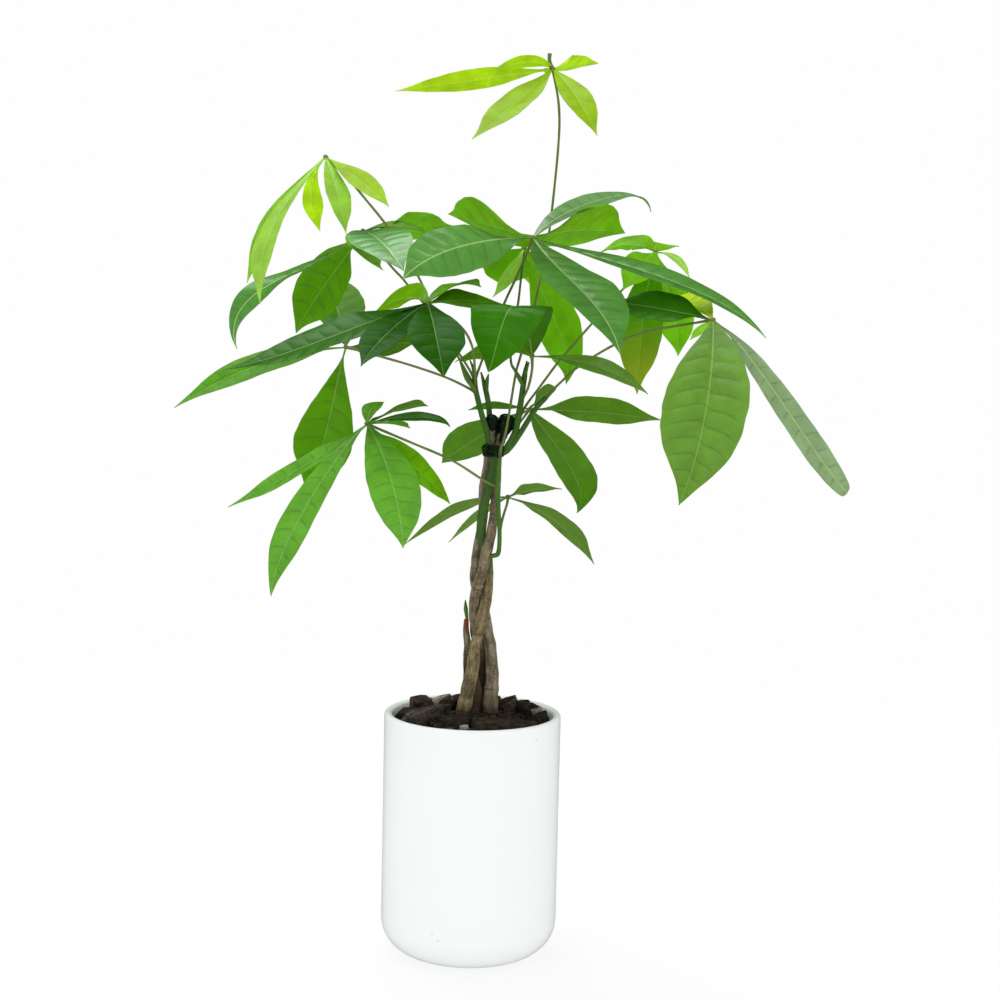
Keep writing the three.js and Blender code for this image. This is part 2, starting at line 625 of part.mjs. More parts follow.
// The tie: a band around the stems' hull over its height, with a knot fused to its left side.
function tieBody(stemBodies) {
  const low = seen(TIE_LOW).z;
  const high = seen(TIE_HIGH).z;
  const near = [];
  for (const body of stemBodies) {
    const above = body.trimByPlane([0, 0, 1], low - TIE_MARGIN);
    const { vertProperties } = above.trimByPlane([0, 0, -1], -high - TIE_MARGIN).getMesh();
    for (let i = 0; i < vertProperties.length; i += 3) {
      near.push(new THREE.Vector2(vertProperties[i], vertProperties[i + 1]));
    }
  }
  const hull = hullOf(near);
  const middle = hull.reduce((sum, p) => sum.add(p), new THREE.Vector2()).divideScalar(hull.length);
  const grown = (distance) => hull.map((p) => {
    const out = p.clone().sub(middle);
    return middle.clone().addScaledVector(out, 1 + distance / out.length());
  });
  const upright = (distance, from, to) => {
    const shape = new THREE.Shape(grown(distance));
    const prism = new THREE.ExtrudeGeometry(shape, { depth: to - from, bevelEnabled: false });
    return solid(prism.translate(0, 0, from));
  };
  const band = upright(TIE_EASE + TIE_THICKNESS, low, high);
  const bore = upright(TIE_EASE, low - TIE_MARGIN, high + TIE_MARGIN);
  const knot = new THREE.BoxGeometry(...TIE_KNOT_SIZE).translate(...seen(TIE_KNOT).toArray());
  return band.add(solid(knot)).subtract(bore);
}

// The wax on a cut stem end: a cap of a height and radius that follows the stem's last stretch.
function waxCap(points, height, radius) {
  const [before, last] = points.slice(-2).map((p) => seen(p));
  const tangent = last.clone().sub(before).normalize();
  const foot = last.clone().addScaledVector(tangent, SEAT_GAP);
  const rings = [[0, 1], [0.7, 1], [1, 0.7]].map(([rise, share]) => {
    const centre = foot.clone().addScaledVector(tangent, height * rise);
    return ringAt(centre, tangent, radius * share, STEM_SIDES);
  });
  return solid(skin(rings));
}

const material = (color, roughness) => new THREE.MeshStandardMaterial({ color, roughness, metalness: 0 });
const ceramic = material('#f2f6f6', 0.25);
const barkSoil = material('#3a322b', 0.95);
const bark = material('#6c6149', 0.85);
const wax = material('#10231a', 0.4);
const tieTape = material('#0c3a14', 0.5);
const youngLeaf = material('#8ebe2c', 0.45);
const freshLeaf = material('#5f9a35', 0.4);
const darkLeaf = material('#2f6a24', 0.35);
const LEAF_MATERIAL = {
  leaf_top: youngLeaf,
  leaf_upper_left: youngLeaf,
  leaf_inner: youngLeaf,
  leaf_upper_right: youngLeaf,
  leaf_middle_left: darkLeaf,
  leaf_middle: darkLeaf,
};

const tree = new THREE.Group();
tree.name = 'potted_money_tree';

function place(name, geometry, surface) {
  const mesh = new THREE.Mesh(geometry, surface);
  mesh.name = name;
  tree.add(mesh);
}

const grow = (name, clearance) => fuse([
  stem(STEMS[name], STEM_SIDES, STEM_STEP, clearance),
  ...BRANCHES[name].map((branch) => stem(branch, BRANCH_SIDES, BRANCH_STEP, clearance)),
]);
const stems = {};
const stemClearance = {};
for (const name of Object.keys(STEMS)) {
  stems[name] = grow(name, 0);
  stemClearance[name] = grow(name, SEAT_GAP);
}
const stub = fuse([STUB, STUB_BUD].map((path) => stem(path, BRANCH_SIDES, BRANCH_STEP)));
const stubClearance = stem(STUB, BRANCH_SIDES, BRANCH_STEP, SEAT_GAP);
const holes = [...Object.values(stemClearance), stubClearance];
const insidePot = solid(turned([
  new THREE.Vector2(0, POT_FLOOR),
  new THREE.Vector2(POT_RADIUS - POT_WALL - SEAT_GAP, POT_FLOOR),
  new THREE.Vector2(POT_RADIUS - POT_WALL - SEAT_GAP, POT_HEIGHT * 2),
  new THREE.Vector2(0, POT_HEIGHT * 2),
]));
const mound = fuse([soilBody(), ...chips()]).intersect(insidePot);
const soil = holes.reduce((body, hole) => body.subtract(hole), mound);

place('pot', geometryOf(solid(potBody())), ceramic);
place('soil', geometryOf(largest(soil)), barkSoil);
for (const [name, body] of Object.entries(stems)) {
  place(name, geometryOf(body), bark);
}
place('stub', geometryOf(stub), bark);
const bound = [stems.stem_left, stems.stem_right, stem(STEMS.stem_back, STEM_SIDES, STEM_STEP)];
place('tie', geometryOf(tieBody(bound)), tieTape);
const waxRight = waxCap(STEMS.stem_right, WAX_RIGHT.height, WAX_RIGHT.radius);
const waxBack = waxCap(STEMS.stem_back, WAX_BACK.height, WAX_BACK.radius);
place('wax_right', geometryOf(largest(waxRight.subtract(stemClearance.stem_right))), wax);
place('wax_back', geometryOf(largest(waxBack.subtract(stemClearance.stem_left))), wax);
for (const [name, plan] of Object.entries(LEAVES)) {
  place(name, geometryOf(leaf(plan, stemClearance[plan.on])), LEAF_MATERIAL[name] ?? freshLeaf);
}

export default tree;
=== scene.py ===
# Potted money tree: fine surfaces and finishes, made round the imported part.
# Lengths are in millimetres, and piece() turns them to the frame's metres. +Z is up, the origin is
# the centre of the pot's underside, and the front faces -Y.
import math
from collections import namedtuple

import bpy
import numpy as np
from mathutils import Matrix, Vector


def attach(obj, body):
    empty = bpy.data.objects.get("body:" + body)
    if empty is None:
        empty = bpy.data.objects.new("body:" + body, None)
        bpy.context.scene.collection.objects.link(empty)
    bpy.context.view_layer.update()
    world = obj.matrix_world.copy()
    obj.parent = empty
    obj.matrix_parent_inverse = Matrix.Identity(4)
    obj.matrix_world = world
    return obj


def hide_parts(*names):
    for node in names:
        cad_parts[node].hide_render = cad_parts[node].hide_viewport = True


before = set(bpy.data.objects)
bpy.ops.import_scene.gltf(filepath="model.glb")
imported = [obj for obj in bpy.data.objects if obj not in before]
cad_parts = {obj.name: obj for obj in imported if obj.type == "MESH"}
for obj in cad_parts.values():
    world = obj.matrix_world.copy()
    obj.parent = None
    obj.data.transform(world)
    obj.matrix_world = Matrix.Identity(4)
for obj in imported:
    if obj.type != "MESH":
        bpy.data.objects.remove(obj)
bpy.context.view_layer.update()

MM = 0.001

# Driving dimensions of the pot and soil, the same as the solids have
POT_RADIUS = 66.5
POT_HEIGHT = 182
POT_WALL = 6
POT_FOOT_RADIUS = 25
POT_FLOOR = 8
POT_INNER_CORNER = 14
SOIL_AT_WALL = 176
SOIL_AT_MIDDLE = 181
SEAT_GAP = 0.33

# Driving dimensions of the growth
BLADE_MIDDLE = 0.5
BLADE_MARGIN = 0.3
BLADE_BELLY = 0.52
BLADE_FOLD = math.tan(math.radians(14))
BLADE_DROOP = 0.45
BLADE_WAVE = 0.016
BLADE_WAVES = 2.5
BLADE_STUB = 0.9
BLADE_TIP = 0.35
TURN_REACH = 0.35
TWIST_START = 0.4
STALK_RADIUS = 1.15
HUB_RADIUS = 2.1

# The growth points stand as they do in a front view: a column and a row of a 1000 by 1000 view,
# and a depth in millimetres behind the pot's axis.
EYE = np.array([17.0, -1250.0, 454.3])
EYE_PITCH = math.radians(5.1)
VIEW_ROLL = math.radians(1.3)
VIEW_FOCAL = 1682
VIEW_MIDDLE = 500
VIEW_WIDTH = 1000

# Stems: each path point is [column, row, depth, radius].
STEMS = {
    "stem_left": [
        [460, 765, -8, 6.0], [461.5, 722, -8, 6.2], [468, 690, -10, 5.0], [473, 667, -11, 4.6],
        [476.4, 643, -10, 4.1], [480.8, 622, -10.5, 4.1], [485.8, 600, -6.5, 3.8], [488.3, 578, -1.5, 3.6],
        [488, 557, 1, 3.5], [483.5, 545, 0, 3.4], [481, 530, -3.5, 3.3], [482, 515, -5, 3.3],
        [485, 502, -5, 3.3], [488, 490, -5, 3.2], [492, 475, -5, 3.1], [495.5, 460, -4, 3.0],
        [499, 446, -2, 2.8],
    ],
    "stem_right": [
        [488.5, 765, -3, 5.8], [489, 722, -3, 6.0], [491.2, 691, -2, 5.3], [492.6, 672, 0, 4.6],
        [491.2, 652, 2, 4.2], [488.5, 635, 3.5, 4.1], [484, 612, 5, 4.2], [479, 595, 5, 4.1],
        [475.5, 582, 4.5, 3.9], [475.5, 570, 4.5, 3.8], [477.2, 553, 6.5, 3.7], [479.5, 540, 7.3, 3.6],
        [482.5, 520, 4.5, 3.5], [483.6, 487, 4, 3.5], [487, 470, 3, 3.4], [489, 455, 2.5, 3.4],
        [490, 440, 2, 3.3], [492, 419, 1, 3.5],
    ],
    "stem_back": [
        [485, 760, 10, 4.6], [484, 705, 10, 5.0], [483, 675, 10, 4.7], [481, 660, 9, 4.6],
        [479, 645, 6.5, 4.4], [475.5, 629, 2, 4.2], [474.2, 612, -2, 3.9], [475.2, 594, -7, 3.8],
        [482.5, 572, -8.5, 3.8], [486, 555, -8, 3.8], [489.8, 538, -6.4, 3.6], [493, 522, -3, 3.5],
        [495, 508, 1, 3.5], [496, 490, 4, 3.4], [497, 470, 5, 3.4], [498, 450, 6, 3.3],
        [502, 434, 6, 3.6], [507.5, 420, 5, 4.6],
    ],
}

# The rows of the view over which a stem turns from bark to green, going up
GREENING = {"stem_left": (592, 545)}

# The share of bark that stays on a stem's green stretch
GREEN_BARK = 0.1

# How grey each stem's bark is, from yellowish brown at 0 to grey at 1
BARK_GREY = {"stem_left": 0.1, "stem_right": 0.8, "stem_back": 0.5, "stub": 0.6}

# The rows over which the bark turns dark, going down to the soil, on each stem and on the
# root beside the left one: damp near the soil, and on the back stem painted shade, where it stands behind
# the front stems
DAMP_AND_SHADE = {"stem_left": (700, 716), "stem_right": (700, 716), "stem_back": (630, 670), "stub": (630, 680)}
ROOT_DAMP = (650, 700)
# The rows over which the stub's cut top turns reddish, going up
STUB_RED = (632, 627)

# What each stem bears, with the same kind of points, and how bright a green each one is. The first
# is bark: the root that flares out beside the left stem's foot.
BRANCHES = {
    "stem_left": [
        (None, [[474, 672, -8, 2.5], [476.5, 690, -7, 3.6], [475, 707, -6, 4.6], [473, 722, -6, 5.0],
                [473, 765, -6, 5.0]]),
        (0.25, [[499, 449, -2, 2.6], [504, 452, 1, 2.5], [512, 445, 2, 2.2], [521, 432, 1, 2.1],
                [535.6, 409, -2, 2.0], [546, 397.5, -5, 1.8]]),
        (0.3, [[504, 452, 1, 2.4], [513, 437, 2, 2.4], [516.5, 427, 1, 2.4], [521, 401, 0, 2.2],
               [524.5, 376, -2, 2.1], [527, 361, -5, 0.6]]),
        (0.8, [[523.5, 386, -2, 1.6], [518, 376, -7, 1.5], [511, 363, -10, 0.5]]),
        (0.7, [[525, 374, -3, 1.6], [529, 362, -6, 0.5]]),
    ],
    "stem_right": [
        (0.2, [[489, 446, 2, 2.6], [487.5, 434, -2, 2.3], [481.3, 412.7, -6, 2.1], [476, 391, -8, 2.0],
               [474.5, 377, -9, 1.9]]),
        (0.9, [[476, 391, -8, 1.7], [467, 378, -14, 2.0], [460, 362, -18, 0.5]]),
        (0.9, [[475, 384, -8, 1.7], [474, 371, -8, 1.5], [470, 360, -8, 0.5]]),
        (0.3, [[490, 430, 3, 2.4], [489.5, 415, 6, 2.1], [488, 401, 5, 2.0], [485, 387, 4, 2.0],
               [481, 372, 4, 0.6]]),
        (0.9, [[486, 392, 4, 1.7], [487, 381, 3, 1.5], [488.5, 374, 2, 0.5]]),
    ],
    "stem_back": [
        (0.5, [[488, 556, -8, 1.5], [494, 555.5, -10, 1.8], [498.5, 552, -11, 1.7], [499.5, 532, -11, 1.6],
                [498, 501, -12, 1.6], [497.5, 482, -12.5, 1.6], [500, 458, -13, 1.5]]),
    ],
}

# The short cut-back stem at the left of the base, the bud on it, and how bright a green the bud is
STUB = [
    [468.5, 760, 6, 2.6], [467.5, 700, 4, 2.9], [467, 660, 2, 2.7], [467.4, 645, 1, 2.6],
    [466.2, 630, 1, 2.3], [466.3, 619, 1, 1.7],
]
STUB_BUD = [[467.2, 621, 1, 1.0], [465.8, 609, 1, 1.7], [465.4, 600, 1, 0.4]]
BUD_GREEN = 0.6

# Leaf tones, by how old a blade is and how the light meets it, each with the weight of its wax coat
# Among them lit, glow and the shade tones are painted light and shade, and the pale grey-green tones with a
# heavy wax coat are a painted sheen.
TONES = {
    "lime": ("#c0d818", 0.1),
    "lime_shade": ("#a2c400", 0.1),
    "fresh": ("#a8d050", 0.3),
    "glow": ("#80c000", 0.05),
    "lit": ("#64a600", 0.1),
    "grass": ("#5fa318", 0.15),
    "mid": ("#70b436", 0.2),
    "matt": ("#6e9c36", 0.1),
    "deep": ("#347800", 0.15),
    "dark": ("#1e5600", 0.0),
    "olive": ("#5c9512", 0.15),
    "sheen": ("#7ab568", 0.8),
    "grey_sheen": ("#7aa868", 0.7),
    "pale_sheen": ("#94b080", 0.6),
    "satin": ("#5c9a3e", 0.8),
    "slate": ("#356c18", 0.2),
    "shade": ("#4e8700", 0.05),
}

# A leaflet runs from its leaf's hub through its via points to its tip, all [column, row, depth].
# Width is in millimetres, and roll turns it about its rib in degrees. Belly is how far along it is
# widest, a full below 1 makes its ends blunt, and twist turns its outer half further. Fold is its
# share of the usual fold, and one below 0 makes it arch. It has its leaf's tone unless it names one,
# and a warm_tip above 0 turns its tip yellow.
Leaflet = namedtuple("Leaflet", "tip via width roll belly full twist fold tone warm_tip",
                     defaults=[BLADE_BELLY, 1, 0, 1, None, 0.0])

# A leaf: its slot and tone, the hub that its leaflets spring from, its stalk's points up to the hub,
# its leaflets, and the spike of new growth on its hub, whose points also have a radius
Leaf = namedtuple("Leaf", "slot tone hub stalk leaflets spur", defaults=[None])
LEAVES = {
    "leaf_top": Leaf(
        slot="young_leaf", tone="lime", hub=[553, 69, 0],
        stalk=[
            [500, 457, -13], [501, 448, -14], [504.5, 437, -14], [508, 420, -10], [515.5, 375, 2],
            [520, 358, 8], [531, 320, 10], [538, 290, 10], [544, 260, 42], [550, 226, 60], [558, 150, 26],
            [559, 108, 6],
        ],
        leaflets=[
            Leaflet([396, 91, 20], [[468, 81, 12]], 17.5, -48, belly=0.45),
            Leaflet([487, 87, -25], [[531, 62, -4], [503, 68, -14]], 12, -40, belly=0.4),
            Leaflet([472, 139, -72], [[516, 103, -38]], 27, 12, tone="lime_shade"),
            Leaflet([597, 135, -64], [[576, 97, -38]], 22, -12, tone="lime_shade"),
            Leaflet([598, 63.5, 75], [[568, 65.5, 40]], 24, 30, belly=0.38, full=0.7),
        ],
        spur=[[552.5, 69, 0, 1.2], [549.5, 61, 0, 0.9], [549.8, 53.5, 0, 0.6]],
    ),
    "leaf_upper_left": Leaf(
        slot="young_leaf", tone="fresh", hub=[325.5, 157, 26],
        stalk=[
            [474.5, 379, -8], [469, 369, 1], [460, 355, 8], [445, 335, 14], [429, 300, 17], [419, 278, 8],
            [403, 252, 8], [387, 226, 8], [367, 201, 11], [350, 181, 17],
        ],
        leaflets=[
            Leaflet([260, 304, -55], [[284, 207, -9], [264, 252, -35]], 22, -14, belly=0.58),
            Leaflet([247, 283, 49], [[291, 194, 44], [265, 236, 55]], 19, -20, belly=0.62),
            Leaflet([320, 231, 96], [[312, 188, 72]], 16, -8, belly=0.7, tone="lime"),
            Leaflet([346, 233, -8], [[337, 193, -2]], 20, 6),
            Leaflet([389, 206.5, -20], [[361, 181, 2]], 18, -30, tone="lime_shade"),
        ],
    ),
    "leaf_left_high": Leaf(
        slot="leaf", tone="mid", hub=[363, 231, 12],
        stalk=[
            [475.5, 388, -9], [467, 373, -5], [455, 352, -1], [440, 330, 5], [424, 304, 11],
            [413, 292, 15], [403, 279, 17], [390, 265, 16],
        ],
        leaflets=[
            Leaflet([237, 349, -14], [[315, 263, 9], [281, 279, 6], [246, 303, -4]], 24, 12, twist=60,
                    belly=0.56, tone="satin"),
            Leaflet([296, 333, 34], [[341, 263, 26], [316, 298, 34]], 44, 80, belly=0.58, tone="lit"),
            Leaflet([404, 271, -84], [[382, 243, -49]], 44, -12, belly=0.45, tone="sheen"),
            Leaflet([455, 226, 96], [[408, 231, 64]], 43, 34, belly=0.44, tone="glow"),
            Leaflet([430, 235, 20], [[399, 226, 25]], 18, -20, tone="olive"),
            Leaflet([383, 270, -29], [[362, 250, -12]], 30, 20, tone="fresh"),
        ],
    ),
    "leaf_middle_left": Leaf(
        slot="dark_leaf", tone="deep", hub=[427, 303, -64],
        stalk=[[475.5, 386, -9], [475, 372, -21], [472, 346, -37], [459, 325, -52]],
        leaflets=[
            Leaflet([222, 370, -90], [[355, 328, -78], [290, 352, -87]], 38, 26, belly=0.42,
                    tone="slate"),
            Leaflet([361, 366, -139], [[388, 333, -104]], 28, 14, tone="dark"),
            Leaflet([444, 377, -162], [[433, 323, -119]], 38, 0, belly=0.68, tone="dark"),
            Leaflet([502, 304, -30], [[464, 301, -54]], 30, -26, tone="shade"),
            Leaflet([481, 287, -14], [[456, 285, -41]], 24, 8, tone="lit"),
            Leaflet([368, 319, -20], [[402, 299, -38]], 32, 40, tone="glow"),
        ],
    ),
    "leaf_left": Leaf(
        slot="leaf", tone="lit", hub=[346, 347, 38],
        stalk=[[477, 394, -8], [470, 389, -3], [445, 377, 5], [410, 365, 16], [375, 355, 29]],
        leaflets=[
            Leaflet([174.5, 407.5, -20], [[290, 356, 17], [232, 376, 0]], 26, 34, tone="grass"),
            Leaflet([306, 494, 14], [[336, 388, 24], [324, 440, 18]], 44, 46, belly=0.68),
            Leaflet([325, 272, 133], [[336, 305, 99]], 46, 0, tone="shade"),
            Leaflet([420, 341, 87], [[384, 344, 67]], 26, 60, tone="shade"),
        ],
    ),
    "leaf_low_left": Leaf(
        slot="leaf", tone="mid", hub=[367, 424, -49],
        stalk=[
            [498, 487, -12], [490, 484, -14], [480, 478, -18], [460, 465, -23], [443, 456, -31],
            [405, 440, -44],
        ],
        leaflets=[
            Leaflet([228, 507, -32], [[298, 470, -38]], 26, 30),
            Leaflet([271, 596, -110], [[332, 466, -81], [292, 533, -104]], 27, 14, belly=0.6),
            Leaflet([403, 548, -125], [[385, 462, -96], [398, 508, -116]], 36, -4),
            Leaflet([450, 504, -9], [[396, 452, -32], [428, 480, -20]], 30, -50, tone="glow"),
            Leaflet([384, 402, -14], [[372, 408, -32]], 14, 0, tone="lit"),
            Leaflet([450, 427, -58], [[397, 418.5, -52], [430, 418.5, -55]], 16, -20, tone="deep"),
            Leaflet([428, 406, 6], [[400, 409, -20]], 20, 28, tone="olive"),
            Leaflet([410, 428, -96], [[388, 423, -72]], 20, 0),
        ],
    ),
    "leaf_centre": Leaf(
        slot="leaf", tone="mid", hub=[533, 238, -29],
        stalk=[
            [475, 379, -8.5], [480, 366, -12], [486, 350, -16], [504, 304, -23], [516, 278, -28],
            [530, 246, -30],
        ],
        leaflets=[
            Leaflet([403, 279, -104], [[480, 242, -61], [435, 256, -87]], 44, 45, belly=0.5, fold=-0.6,
                    tone="satin"),
            Leaflet([620, 354, -133], [[562, 272, -72], [596, 307, -110]], 56, 2, tone="satin"),
            Leaflet([766, 338, -78], [[610, 261, -49], [698, 292, -70]], 30, -18, tone="satin"),
            Leaflet([651, 212, 87], [[565, 214, 5], [597, 201, 38], [630, 195.5, 66]], 24, -16,
                    belly=0.42, tone="grey_sheen"),
            Leaflet([625, 233, 72], [[578, 230, 32]], 56, 34, full=0.95, tone="glow"),
            Leaflet([448, 214, 90], [[490, 225, 38]], 54, -38, belly=0.46, tone="glow"),
        ],
    ),
    "leaf_inner": Leaf(
        slot="young_leaf", tone="glow", hub=[524, 248, 49],
        stalk=[[524, 383, 0], [518, 374, 10], [511, 362, 17], [512, 332, 30], [518, 304, 44]],
        leaflets=[
            Leaflet([493, 297, 17], [[510, 275, 30]], 11, 20, tone="fresh"),
            Leaflet([533, 288, 102], [[530, 268, 78]], 28, -10, tone="lime_shade"),
            Leaflet([566, 384, 44], [[546, 300, 38], [564, 345, 44]], 36, -60),
            Leaflet([505, 287, 62], [[511, 268, 54]], 46, -20),
            Leaflet([566, 266, 96], [[546, 254, 72]], 24, -10),
        ],
    ),
    "leaf_upper_right": Leaf(
        slot="young_leaf", tone="glow", hub=[656, 252, 70],
        stalk=[
            [520, 416, 0], [527, 404, 7], [539, 388, 11], [559, 361, 18], [567, 352, 23], [588, 328, 35],
            [624, 288, 56], [635, 276, 64],
        ],
        leaflets=[
            Leaflet([598, 254, 90], [[628, 245, 84]], 34, 24, belly=0.42),
            Leaflet([623, 290, 12], [[640, 266, 35]], 26, 30),
            Leaflet([637, 394, 29], [[646, 300, 46], [640, 350, 38]], 36, -8, tone="lit", warm_tip=0.8),
            Leaflet([678, 356, 64], [[668, 290, 64], [676, 325, 64]], 32, -60),
            Leaflet([690, 279, 44], [[676, 259, 58]], 8, -20, tone="fresh"),
            Leaflet([632, 250, 128], [[649, 241, 102]], 50, 0, fold=-0.8),
        ],
    ),
    "leaf_right": Leaf(
        slot="leaf", tone="matt", hub=[713, 320, -90],
        stalk=[
            [545, 399, -5], [553, 390, -7], [560, 383, -9], [578, 367, -5], [612, 346, -13],
            [645, 332, -34], [689, 324, -72],
        ],
        leaflets=[
            Leaflet([679, 505, -160], [[711, 374, -133], [700, 440, -157]], 58, 0),
            Leaflet([847, 493.5, -84], [[756, 366, -84], [802, 432, -90]], 19, -75, belly=0.72,
                    full=0.28, tone="pale_sheen"),
            Leaflet([612, 302, -58], [[660, 309, -75]], 36, 34, tone="deep"),
            Leaflet([670, 298, -9], [[691, 302, -44]], 24, 20, tone="lime"),
            Leaflet([690, 340, -100], [[701, 330, -96]], 8, 20, tone="glow"),
        ],
    ),
    "leaf_middle": Leaf(
        slot="dark_leaf", tone="deep", hub=[532, 356, -17],
        stalk=[[522, 399, 0], [528, 388, -7], [532, 370, -13]],
        leaflets=[
            Leaflet([488, 372, -99], [[525, 321, -50], [512, 307, -87], [499, 336, -99]], 54, 4,
                    fold=0.3),
            Leaflet([648, 394, -67], [[594, 366, -49]], 25, -18, tone="matt"),
            Leaflet([455, 362, 44], [[492, 350, 14]], 40, 30, tone="olive"),
        ],
    ),
    "leaf_mid_right": Leaf(
        slot="leaf", tone="olive", hub=[530, 409, 32],
        stalk=[[514, 434, 2], [519, 424, 16]],
        leaflets=[
            Leaflet([661, 420, 20], [[597, 412, 29]], 33, 40),
            Leaflet([577, 513, 90], [[554, 442, 61], [577, 480, 87]], 40, 0),
            Leaflet([556, 389, 58], [[542, 396, 44]], 14, 75, belly=0.6, full=0.6, tone="matt"),
            Leaflet([468, 410, 81], [[500, 406.5, 58]], 16, -20),
            Leaflet([442, 463, 119], [[472, 441, 93]], 32, -38),
        ],
    ),
    "leaf_low_right": Leaf(
        slot="leaf", tone="matt", hub=[508, 497, 22],
        stalk=[[499.5, 532, -11], [503, 517, -4], [507, 504, 10]],
        leaflets=[
            Leaflet([562, 489, 17], [[532, 490, 23]], 24, 22, belly=0.45),
            Leaflet([594, 564, 64], [[557, 522, 52]], 29, 10),
            Leaflet([405, 544, 61], [[463, 508, 49]], 26, -10),
            Leaflet([449, 542, 110], [[482, 513, 72]], 12, 0),
        ],
    ),
}

# A closed shell of a piece: its points, its faces as whole arrays, values at its points, and the
# number of its material.
Shell = namedtuple("Shell", "places faces marks finish", defaults=[0])


def seen(points):
    """Growth points [column, row, depth] as places: each is where its line of sight from the eye
    reaches its depth behind the pot's axis."""
    points = np.asarray(points, float)
    across = (points[:, 0] - VIEW_MIDDLE) / VIEW_FOCAL
    above = (VIEW_MIDDLE - points[:, 1]) / VIEW_FOCAL
    right = across * math.cos(VIEW_ROLL) - above * math.sin(VIEW_ROLL)
    up = across * math.sin(VIEW_ROLL) + above * math.cos(VIEW_ROLL)
    ahead = math.cos(EYE_PITCH) + up * math.sin(EYE_PITCH)
    rise = up * math.cos(EYE_PITCH) - math.sin(EYE_PITCH)
    sight = np.stack([right, ahead, rise], axis=1)
    return EYE + sight * ((points[:, 2] - EYE[1]) / ahead)[:, None]


def unit(vectors):
    """Vectors divided by their own length."""
    return vectors / np.linalg.norm(vectors, axis=-1, keepdims=True)


def ease(values, start, end):
    """0 before start, 1 after end, and a smooth cubic between them."""
    share = np.clip((np.asarray(values, float) - start) / (end - start), 0, 1)
    return share * share * (3 - 2 * share)


def smooth_path(points, step):
    """A curve through points, as places, unit tangents, distances and how far along the points each
    one is. Between two points it is the cubic whose slope at a point is half the way between the
    point's neighbours."""
    padded = np.concatenate([[2 * points[0] - points[1]], points, [2 * points[-1] - points[-2]]])
    length = np.linalg.norm(np.diff(points, axis=0), axis=1).sum()
    count = max(4, round(length / step))
    along = np.linspace(0, len(points) - 1, count + 1)
    first = np.minimum(along.astype(int), len(points) - 2)
    t = (along - first)[:, None]
    before, start, end, after = (padded[first + k] for k in range(4))
    leave, arrive = (end - before) / 2, (after - start) / 2
    places = ((2 * start - 2 * end + leave + arrive) * t ** 3
              + (3 * end - 3 * start - 2 * leave - arrive) * t ** 2 + leave * t + start)
    steps = np.linalg.norm(np.diff(places, axis=0), axis=1)
    distances = np.concatenate([[0], np.cumsum(steps)])
    return places, unit(np.gradient(places, axis=0)), distances, along


def stem_line(points, step):
    """A curve through [column, row, depth, radius] points: its places, unit tangents and distances,
    and the radius and the view's row at each place, as columns."""
    points = np.asarray(points, float)
    places, tangents, distances, along = smooth_path(seen(points), step)
    radius, rows = (np.interp(along, np.arange(len(points)), points[:, k])[:, None] for k in (3, 1))
    return places, tangents, distances, radius, rows


def through(points, t):
    """The polynomial through evenly spaced points, at t from 0 to 1: each point times the product
    that is 1 at it and 0 at the others."""
    last = len(points) - 1
    total = np.zeros((len(t), 3))
    for i, point in enumerate(points):
        others = [j for j in range(last + 1) if j != i]
        weight = np.prod([(t * last - j) / (i - j) for j in others], axis=0)
        total += weight[:, None] * point
    return total


def woven(rows, columns, looped=False):
    """The quads of a grid of points, row by row, whose last column joins its first. A looped grid
    joins its last row to its first too."""
    index = np.arange(rows * columns).reshape(rows, columns)
    if looped:
        index = np.concatenate([index, index[:1]])
    index = np.concatenate([index, index[:, :1]], axis=1)
    corners = [index[:-1, :-1], index[:-1, 1:], index[1:, 1:], index[1:, :-1]]
    return np.stack(corners, axis=-1).reshape(-1, 4)


def angles_round(count):
    """Evenly spaced angles of one whole turn, as a row."""
    return (np.arange(count) * 2 * np.pi / count)[None]


def ringed(grid, marks, finish=0):
    """A closed shell from rings of points, with a point in the middle of each end ring."""
    rows, columns = grid.shape[:2]
    ends = np.stack([grid[0].mean(axis=0), grid[-1].mean(axis=0)])
    places = np.concatenate([grid.reshape(-1, 3), ends])
    ring = np.arange(columns)
    after = (ring + 1) % columns
    top = (rows - 1) * columns
    foot_fan = np.stack([np.full(columns, rows * columns), after, ring], axis=1)
    head_fan = np.stack([np.full(columns, rows * columns + 1), top + ring, top + after], axis=1)
    full = {}
    for name, values in marks.items():
        values = np.broadcast_to(np.asarray(values, float), (rows, columns))
        full[name] = np.concatenate([values.ravel(), [values[0].mean(), values[-1].mean()]])
    return Shell(places, [woven(rows, columns), foot_fan, head_fan], full, finish)


def piece(name, shells, materials, node, sharp=50):
    """One object from closed shells. It rides on the root body and stands for its CAD node.
    Edges that turn by more than sharp degrees stay crisp."""
    starts = np.cumsum([0] + [len(shell.places) for shell in shells])
    places = np.concatenate([shell.places for shell in shells]) * MM
    faces, finishes = [], []
    for shell, start in zip(shells, starts):
        for group in shell.faces:
            faces.append(group + start)
            finishes.append(np.full(len(group), shell.finish))
    counts = np.concatenate([np.full(len(group), group.shape[1]) for group in faces])
    corners = np.concatenate([group.ravel() for group in faces])
    mesh = bpy.data.meshes.new(name)
    mesh.vertices.add(len(places))
    mesh.vertices.foreach_set("co", places.ravel())
    mesh.loops.add(len(corners))
    mesh.loops.foreach_set("vertex_index", corners)
    mesh.polygons.add(len(counts))
    mesh.polygons.foreach_set("loop_start", np.cumsum(counts) - counts)
    mesh.polygons.foreach_set("material_index", np.concatenate(finishes))
    mesh.update(calc_edges=True)
    mesh.shade_smooth()
    mesh.set_sharp_from_angle(angle=math.radians(sharp))
    for mark in sorted({mark for shell in shells for mark in shell.marks}):
        values = [shell.marks.get(mark, np.zeros(len(shell.places))) for shell in shells]
        attribute = mesh.attributes.new(mark, "FLOAT", "POINT")
        attribute.data.foreach_set("value", np.concatenate(values))
    for material in materials:
        mesh.materials.append(material)
    made = bpy.data.objects.new(name, mesh)
    bpy.context.scene.collection.objects.link(made)
    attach(made, "root")
    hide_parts(node)


